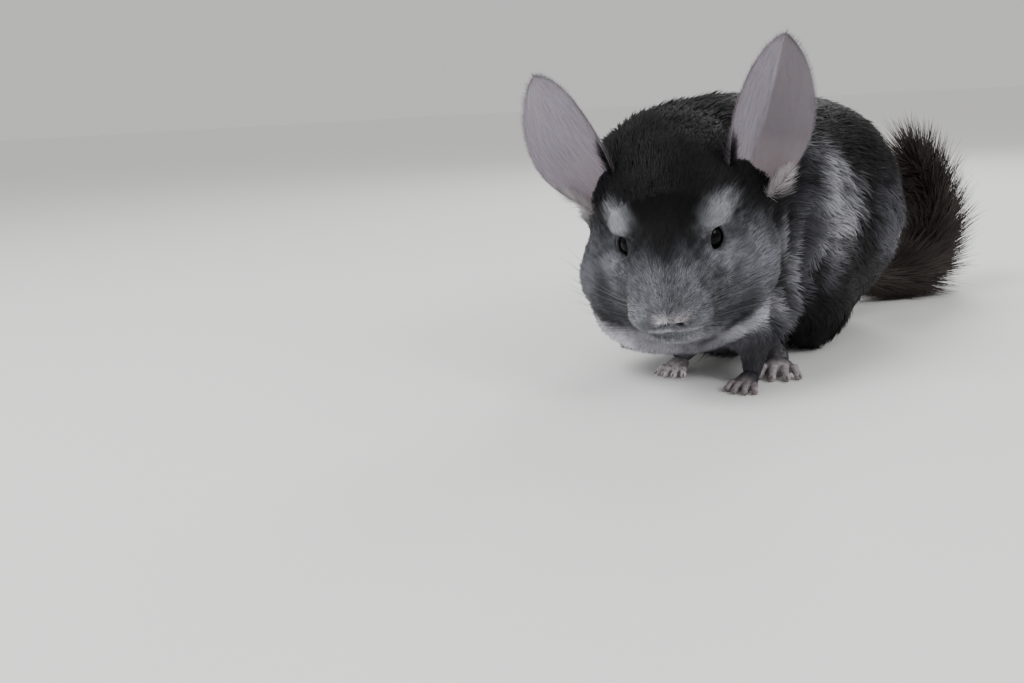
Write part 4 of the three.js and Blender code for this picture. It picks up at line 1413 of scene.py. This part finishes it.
print("floor, lights and camera")
bpy.ops.mesh.primitive_plane_add(size=60, location=(0, 0, 0))
floor = bpy.context.object
floor.name = "floor"
floorPaint, nodes, links, shader = newMaterial("floorPaint")
setInputs(shader, {"Base Color": (0.93, 0.925, 0.915, 1), "Roughness": 0.8})
floor.data.materials.append(floorPaint)

world = bpy.data.worlds.new("studio")
bpy.context.scene.world = world
world.use_nodes = True
background = world.node_tree.nodes["Background"]
setInputs(background, {"Color": (0.84, 0.835, 0.825, 1), "Strength": 0.78})


# Places in metres, power in watts
def softLight(name, place, target, size, power):
    lamp = bpy.data.lights.new(name, "AREA")
    lamp.shape, lamp.size, lamp.energy = "DISK", size, power
    light = bpy.data.objects.new(name, lamp)
    light.location = place
    light.rotation_euler = (Vector(target) - Vector(place)).to_track_quat("-Z", "Y").to_euler()
    bpy.context.scene.collection.objects.link(light)


softLight("keyLight", (-0.35, -0.75, 0.95), (0, -0.05, 0.05), 0.6, 9)
softLight("sideLight", (0.9, -0.1, 0.7), (0, 0, 0.05), 0.5, 4)
softLight("backLight", (-0.2, 0.9, 0.8), (0, 0, 0.06), 0.5, 5)

viewForm = {
    "place": (180.7, -409.8, 108), "azimuth": 40, "pitch": 13.9, "roll": 3.1,
    "focal": 935, "pixels": 1024, "sensor": 36,
}
azimuth, pitch, roll = (math.radians(viewForm[k]) for k in ("azimuth", "pitch", "roll"))
ahead = Vector((-math.sin(azimuth), math.cos(azimuth), 0))
right = Vector((math.cos(azimuth), math.sin(azimuth), 0))
aim = ahead * math.cos(pitch) - Vector((0, 0, 1)) * math.sin(pitch)
upright = ahead * math.sin(pitch) + Vector((0, 0, 1)) * math.cos(pitch)
cameraX = right * math.cos(roll) - upright * math.sin(roll)
cameraY = right * math.sin(roll) + upright * math.cos(roll)
camera = bpy.data.objects.new("camera", bpy.data.cameras.new("camera"))
camera.data.lens = viewForm["focal"] / viewForm["pixels"] * viewForm["sensor"]
camera.data.sensor_width = viewForm["sensor"]
camera.data.clip_start = 0.01
turned = Matrix((cameraX, cameraY, -aim)).transposed().to_4x4()
turned.translation = Vector(toRow(viewForm["place"]))
camera.matrix_world = turned
bpy.context.scene.collection.objects.link(camera)
bpy.context.scene.camera = camera

print("frame")
legNodes = [f"{part}_{side}" for part in ("foreleg", "hindleg") for side in ("left", "right")]
hairPieces = [*coats, *downs, tailCoat, *pawDowns]
solidPieces = [*claws, *ears.values(), *eyes.values(), *paws.values()]
for piece in [skin, tailSkin, whiskers, *hairPieces, *solidPieces]:
    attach(piece, "root")
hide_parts("head", "neck", "torso", *legNodes)
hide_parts("tail_base", "tail_brush", "tail_tip")
for name, paw in paws.items():
    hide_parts(name)
for side in ("left", "right"):
    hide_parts(f"ear_{side}")
    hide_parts(f"eye_{side}")
